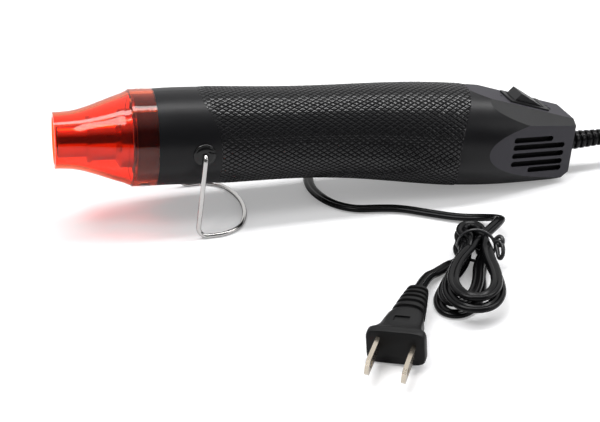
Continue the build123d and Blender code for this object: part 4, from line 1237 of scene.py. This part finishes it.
def make_marks():
    """Raised marks on the deck: a ring and a bar behind the rocker, a dot in front of it."""
    deselect()
    bpy.ops.mesh.primitive_torus_add(
        major_radius=RING_RADIUS * MM, minor_radius=RING_THICKNESS * MM, major_segments=28,
        minor_segments=8, location=(MARK_STATION * MM, -MARK_SIDE * MM, 0),
    )
    ring = bpy.context.object
    deselect()
    bpy.ops.mesh.primitive_cube_add(
        size=1 * MM, location=(MARK_STATION * MM, MARK_SIDE * MM, 0), scale=BAR_SIZE
    )
    bar = bpy.context.object
    bpy.ops.object.mode_set(mode="EDIT")
    bpy.ops.mesh.bevel(offset=BAR_ROUNDING * MM, segments=2)
    bpy.ops.object.mode_set(mode="OBJECT")
    deselect()
    bpy.ops.mesh.primitive_uv_sphere_add(
        segments=20, ring_count=10, radius=DOT_RADIUS * MM, location=(DOT_STATION * MM, 0, -DOT_SINK * MM)
    )
    for part in (ring, bar):
        part.select_set(True)
    bpy.ops.object.join()
    bpy.ops.object.transform_apply(location=True, rotation=True, scale=True)
    marks = bpy.context.object
    bpy.ops.object.shade_smooth_by_angle(angle=math.radians(MARK_EDGE))
    marks.matrix_world = deck_place
    return finish_piece(marks, "deck_marks", "housing", "black_plastic", switch_black())


def make_stage():
    """Camera, pale floor, world and lamps."""
    stage = bpy.context.scene.heat_stage
    deselect()
    bpy.ops.object.camera_add(
        location=tuple(stage.eye), rotation=(math.radians(90 - stage.fall), 0, math.radians(-stage.yaw))
    )
    camera = bpy.context.object
    camera.data.lens = stage.lens
    camera.data.sensor_width = 36.0
    camera.data.clip_start = 0.01
    bpy.context.scene.camera = camera
    bpy.context.scene.view_settings.view_transform = "Standard"
    deselect()
    bpy.ops.mesh.primitive_plane_add(size=FLOOR_SIZE, location=(0, 0, 0))
    floor = bpy.context.object
    floor.name = "floor"
    floor.data.materials.append(floor_white(tuple(stage.floor_colour)))
    white_world()
    for lamp in LAMPS:
        add_lamp(*lamp)


def share_of_gloss(tree, path):
    """Socket that is one once a ray has come off a glossy surface."""
    return maths(tree, "MINIMUM", path.outputs["Glossy Depth"], 1.0)


def seen_directly(tree, path):
    """Socket that is one for what the camera sees, also through clear plastic."""
    seen = maths(tree, "MAXIMUM", path.outputs["Is Camera Ray"], path.outputs["Is Transmission Ray"])
    return maths(tree, "MULTIPLY", seen, maths(tree, "SUBTRACT", 1.0, share_of_gloss(tree, path)))


def floor_white(colour):
    """Pale floor: diffuse, so that it keeps shadows, lifted to white where it is seen, more so far out."""
    material = bpy.data.materials.new("floor_white")
    material.use_nodes = True
    tree = material.node_tree
    shader = tree.nodes["Principled BSDF"]
    shader.inputs["Base Color"].default_value = (*colour, 1)
    shader.inputs["Roughness"].default_value = 0.9
    shader.inputs["Specular IOR Level"].default_value = 0.0
    shader.inputs["Emission Color"].default_value = (1, 1, 1, 1)
    path = tree.nodes.new("ShaderNodeLightPath")
    place = tree.nodes.new("ShaderNodeTexCoord")
    distance = tree.nodes.new("ShaderNodeVectorMath")
    distance.operation = "LENGTH"
    tree.links.new(place.outputs["Object"], distance.inputs[0])
    outer = maths(tree, "SUBTRACT", distance.outputs["Value"], LIFT_FROM)
    rise = maths(tree, "MINIMUM", maths(tree, "MAXIMUM", outer, 0.0), LIFT_GROWTH)
    lift = maths(tree, "MULTIPLY", seen_directly(tree, path), maths(tree, "ADD", rise, NEAR_LIFT))
    tree.links.new(lift, shader.inputs["Emission Strength"])
    return material


def white_world():
    """White surround for what is seen, and a plain softer light for what it lights.

    Gloss shows the same surround, white above and behind and falling off low in front."""
    world = bpy.data.worlds.new("white_world")
    bpy.context.scene.world = world
    world.use_nodes = True
    tree = world.node_tree
    lit = tree.nodes["Background"]
    lit.inputs["Color"].default_value = (1, 1, 1, 1)
    lit.inputs["Strength"].default_value = WORLD_LIGHT
    path = tree.nodes.new("ShaderNodeLightPath")
    place = tree.nodes.new("ShaderNodeTexCoord")
    split = tree.nodes.new("ShaderNodeSeparateXYZ")
    tree.links.new(place.outputs["Generated"], split.inputs[0])
    high = maths(tree, "MULTIPLY", split.outputs["Z"], GLOSS_UP)
    back = maths(tree, "MULTIPLY", split.outputs["Y"], GLOSS_BACK)
    rise = maths(tree, "MAXIMUM", maths(tree, "ADD", high, back), 0.0)
    gloss = maths(tree, "MINIMUM", maths(tree, "ADD", rise, GLOSS_LEVEL), 1.0)
    direct = seen_directly(tree, path)
    shine = maths(tree, "MULTIPLY", gloss, share_of_gloss(tree, path))
    rays = maths(tree, "MAXIMUM", path.outputs["Is Glossy Ray"], path.outputs["Is Transmission Ray"])
    shown = tree.nodes.new("ShaderNodeBackground")
    shown.inputs["Color"].default_value = (1, 1, 1, 1)
    tree.links.new(maths(tree, "MAXIMUM", shine, direct), shown.inputs["Strength"])
    mix = tree.nodes.new("ShaderNodeMixShader")
    tree.links.new(maths(tree, "MAXIMUM", direct, rays), mix.inputs["Fac"])
    tree.links.new(lit.outputs[0], mix.inputs[1])
    tree.links.new(shown.outputs[0], mix.inputs[2])
    tree.links.new(mix.outputs[0], tree.nodes["World Output"].inputs["Surface"])


def add_lamp(name, place, target, width, depth, power):
    """One rectangular softbox that faces a point."""
    deselect()
    bpy.ops.object.light_add(type="AREA", location=place)
    lamp = bpy.context.object
    lamp.name = name
    lamp.data.shape = "RECTANGLE"
    lamp.data.size = width
    lamp.data.size_y = depth
    lamp.data.energy = power
    facing = (Vector(target) - Vector(place)).to_track_quat("-Z", "Y")
    lamp.rotation_euler = facing.to_euler()


class HEATTOOL_OT_housing(bpy.types.Operator):
    """Dress the housing halves, the bushes and the closing screws"""

    bl_idname = "heattool.housing"
    bl_label = "Housing"

    def execute(self, context):
        dress_housing()
        gloss = bush_black()
        dress(gloss, "pivot_bushes")
        make_dome(1, "right_bush_dome", gloss)
        make_dome(-1, "left_bush_dome", gloss)
        dress(screw_steel(), "housing_screws", "clamp_screws", "motor_shaft", "rocker_pin")
        dress(inside_black(), "cord_clamp", "motor_cradle", "fan_duct")
        # Dark sheets behind the vents: painted shade that keeps the slots black
        shade_sheet = shade_sheet_black()
        make_shade_sheet(1, "right_felt", shade_sheet)
        make_shade_sheet(-1, "left_felt", shade_sheet)
        return {"FINISHED"}


class HEATTOOL_OT_grip(bpy.types.Operator):
    """Make the cross-cut grip round the waist"""

    bl_idname = "heattool.grip"
    bl_label = "Grip"

    def execute(self, context):
        make_grip()
        return {"FINISHED"}


class HEATTOOL_OT_heater(bpy.types.Operator):
    """Dress the red cover, its screws, the nozzle and the heater inside"""

    bl_idname = "heattool.heater"
    bl_label = "Cover and heater"

    def execute(self, context):
        dress(clear_red(), "nozzle_cover")
        dress(chrome_wire(), "collar_screws", "thermal_cutout")
        dress(nozzle_steel(), "nozzle_tube", "heat_liner")
        dress(mica_sheet(), "mica_sleeve", "element_former")
        dress(hot_wire(), "heating_coil")
        dress(white_ceramic(), "front_ring", "rear_ring", "element_seat")
        return {"FINISHED"}


class HEATTOOL_OT_blower(bpy.types.Operator):
    """Dress the motor, the impeller, the board and the leads"""

    bl_idname = "heattool.blower"
    bl_label = "Blower and board"

    def execute(self, context):
        dress(motor_steel(), "motor_can")
        dress(fan_cream(), "fan_impeller")
        dress(board_green(), "rectifier_board")
        dress(inside_black(), "board_parts", "inner_leads")
        return {"FINISHED"}


class HEATTOOL_OT_switch(bpy.types.Operator):
    """Dress the rocker switch"""

    bl_idname = "heattool.switch"
    bl_label = "Switch"

    def execute(self, context):
        dress(switch_black(), "switch_body", "switch_rocker")
        dress(tab_brass(), "switch_terminals")
        make_marks()
        return {"FINISHED"}


class HEATTOOL_OT_stand(bpy.types.Operator):
    """Dress the wire stand"""

    bl_idname = "heattool.stand"
    bl_label = "Stand"

    def execute(self, context):
        dress(chrome_wire(), "stand_wire")
        return {"FINISHED"}


class HEATTOOL_OT_cord(bpy.types.Operator):
    """Make the cord with its hank, tie and plug"""

    bl_idname = "heattool.cord"
    bl_label = "Cord and plug"

    def execute(self, context):
        dress(cord_black(), "cord_stub")
        dress(blade_plating(), "plug_blades")
        make_cord()
        return {"FINISHED"}


class HEATTOOL_OT_stage(bpy.types.Operator):
    """Set up the camera, the floor and the lamps"""

    bl_idname = "heattool.stage"
    bl_label = "Stage"

    def execute(self, context):
        make_stage()
        return {"FINISHED"}


class HEATTOOL_PT_panel(bpy.types.Panel):
    """Lists the pieces of the heat tool"""

    bl_idname = "HEATTOOL_PT_panel"
    bl_label = "Heat tool"
    bl_space_type = "VIEW_3D"
    bl_region_type = "UI"
    bl_category = "Heat tool"

    def draw(self, context):
        for operator in OPERATORS:
            self.layout.operator(operator.bl_idname)


SETTINGS = {
    "heat_housing": HousingSettings,
    "heat_grip": GripSettings,
    "heat_cord": CordSettings,
    "heat_stage": StageSettings,
}
OPERATORS = (
    HEATTOOL_OT_stage,
    HEATTOOL_OT_cord,
    HEATTOOL_OT_housing,
    HEATTOOL_OT_grip,
    HEATTOOL_OT_heater,
    HEATTOOL_OT_blower,
    HEATTOOL_OT_switch,
    HEATTOOL_OT_stand,
)


def register():
    """Registers the settings, the operators and the panel."""
    for name, settings in SETTINGS.items():
        bpy.utils.register_class(settings)
        setattr(bpy.types.Scene, name, PointerProperty(type=settings))
    for operator in OPERATORS:
        bpy.utils.register_class(operator)
    bpy.utils.register_class(HEATTOOL_PT_panel)


def unregister():
    """Takes everything back out."""
    bpy.utils.unregister_class(HEATTOOL_PT_panel)
    for operator in reversed(OPERATORS):
        bpy.utils.unregister_class(operator)
    for name, settings in SETTINGS.items():
        delattr(bpy.types.Scene, name)
        bpy.utils.unregister_class(settings)


def main():
    """Builds everything in order."""
    register()
    moulded_grain()
    drawn_lines()
    bpy.ops.heattool.stage()
    bpy.ops.heattool.cord()
    bpy.ops.heattool.housing()
    bpy.ops.heattool.grip()
    bpy.ops.heattool.heater()
    bpy.ops.heattool.blower()
    bpy.ops.heattool.switch()
    bpy.ops.heattool.stand()


if __name__ == "__main__":
    main()
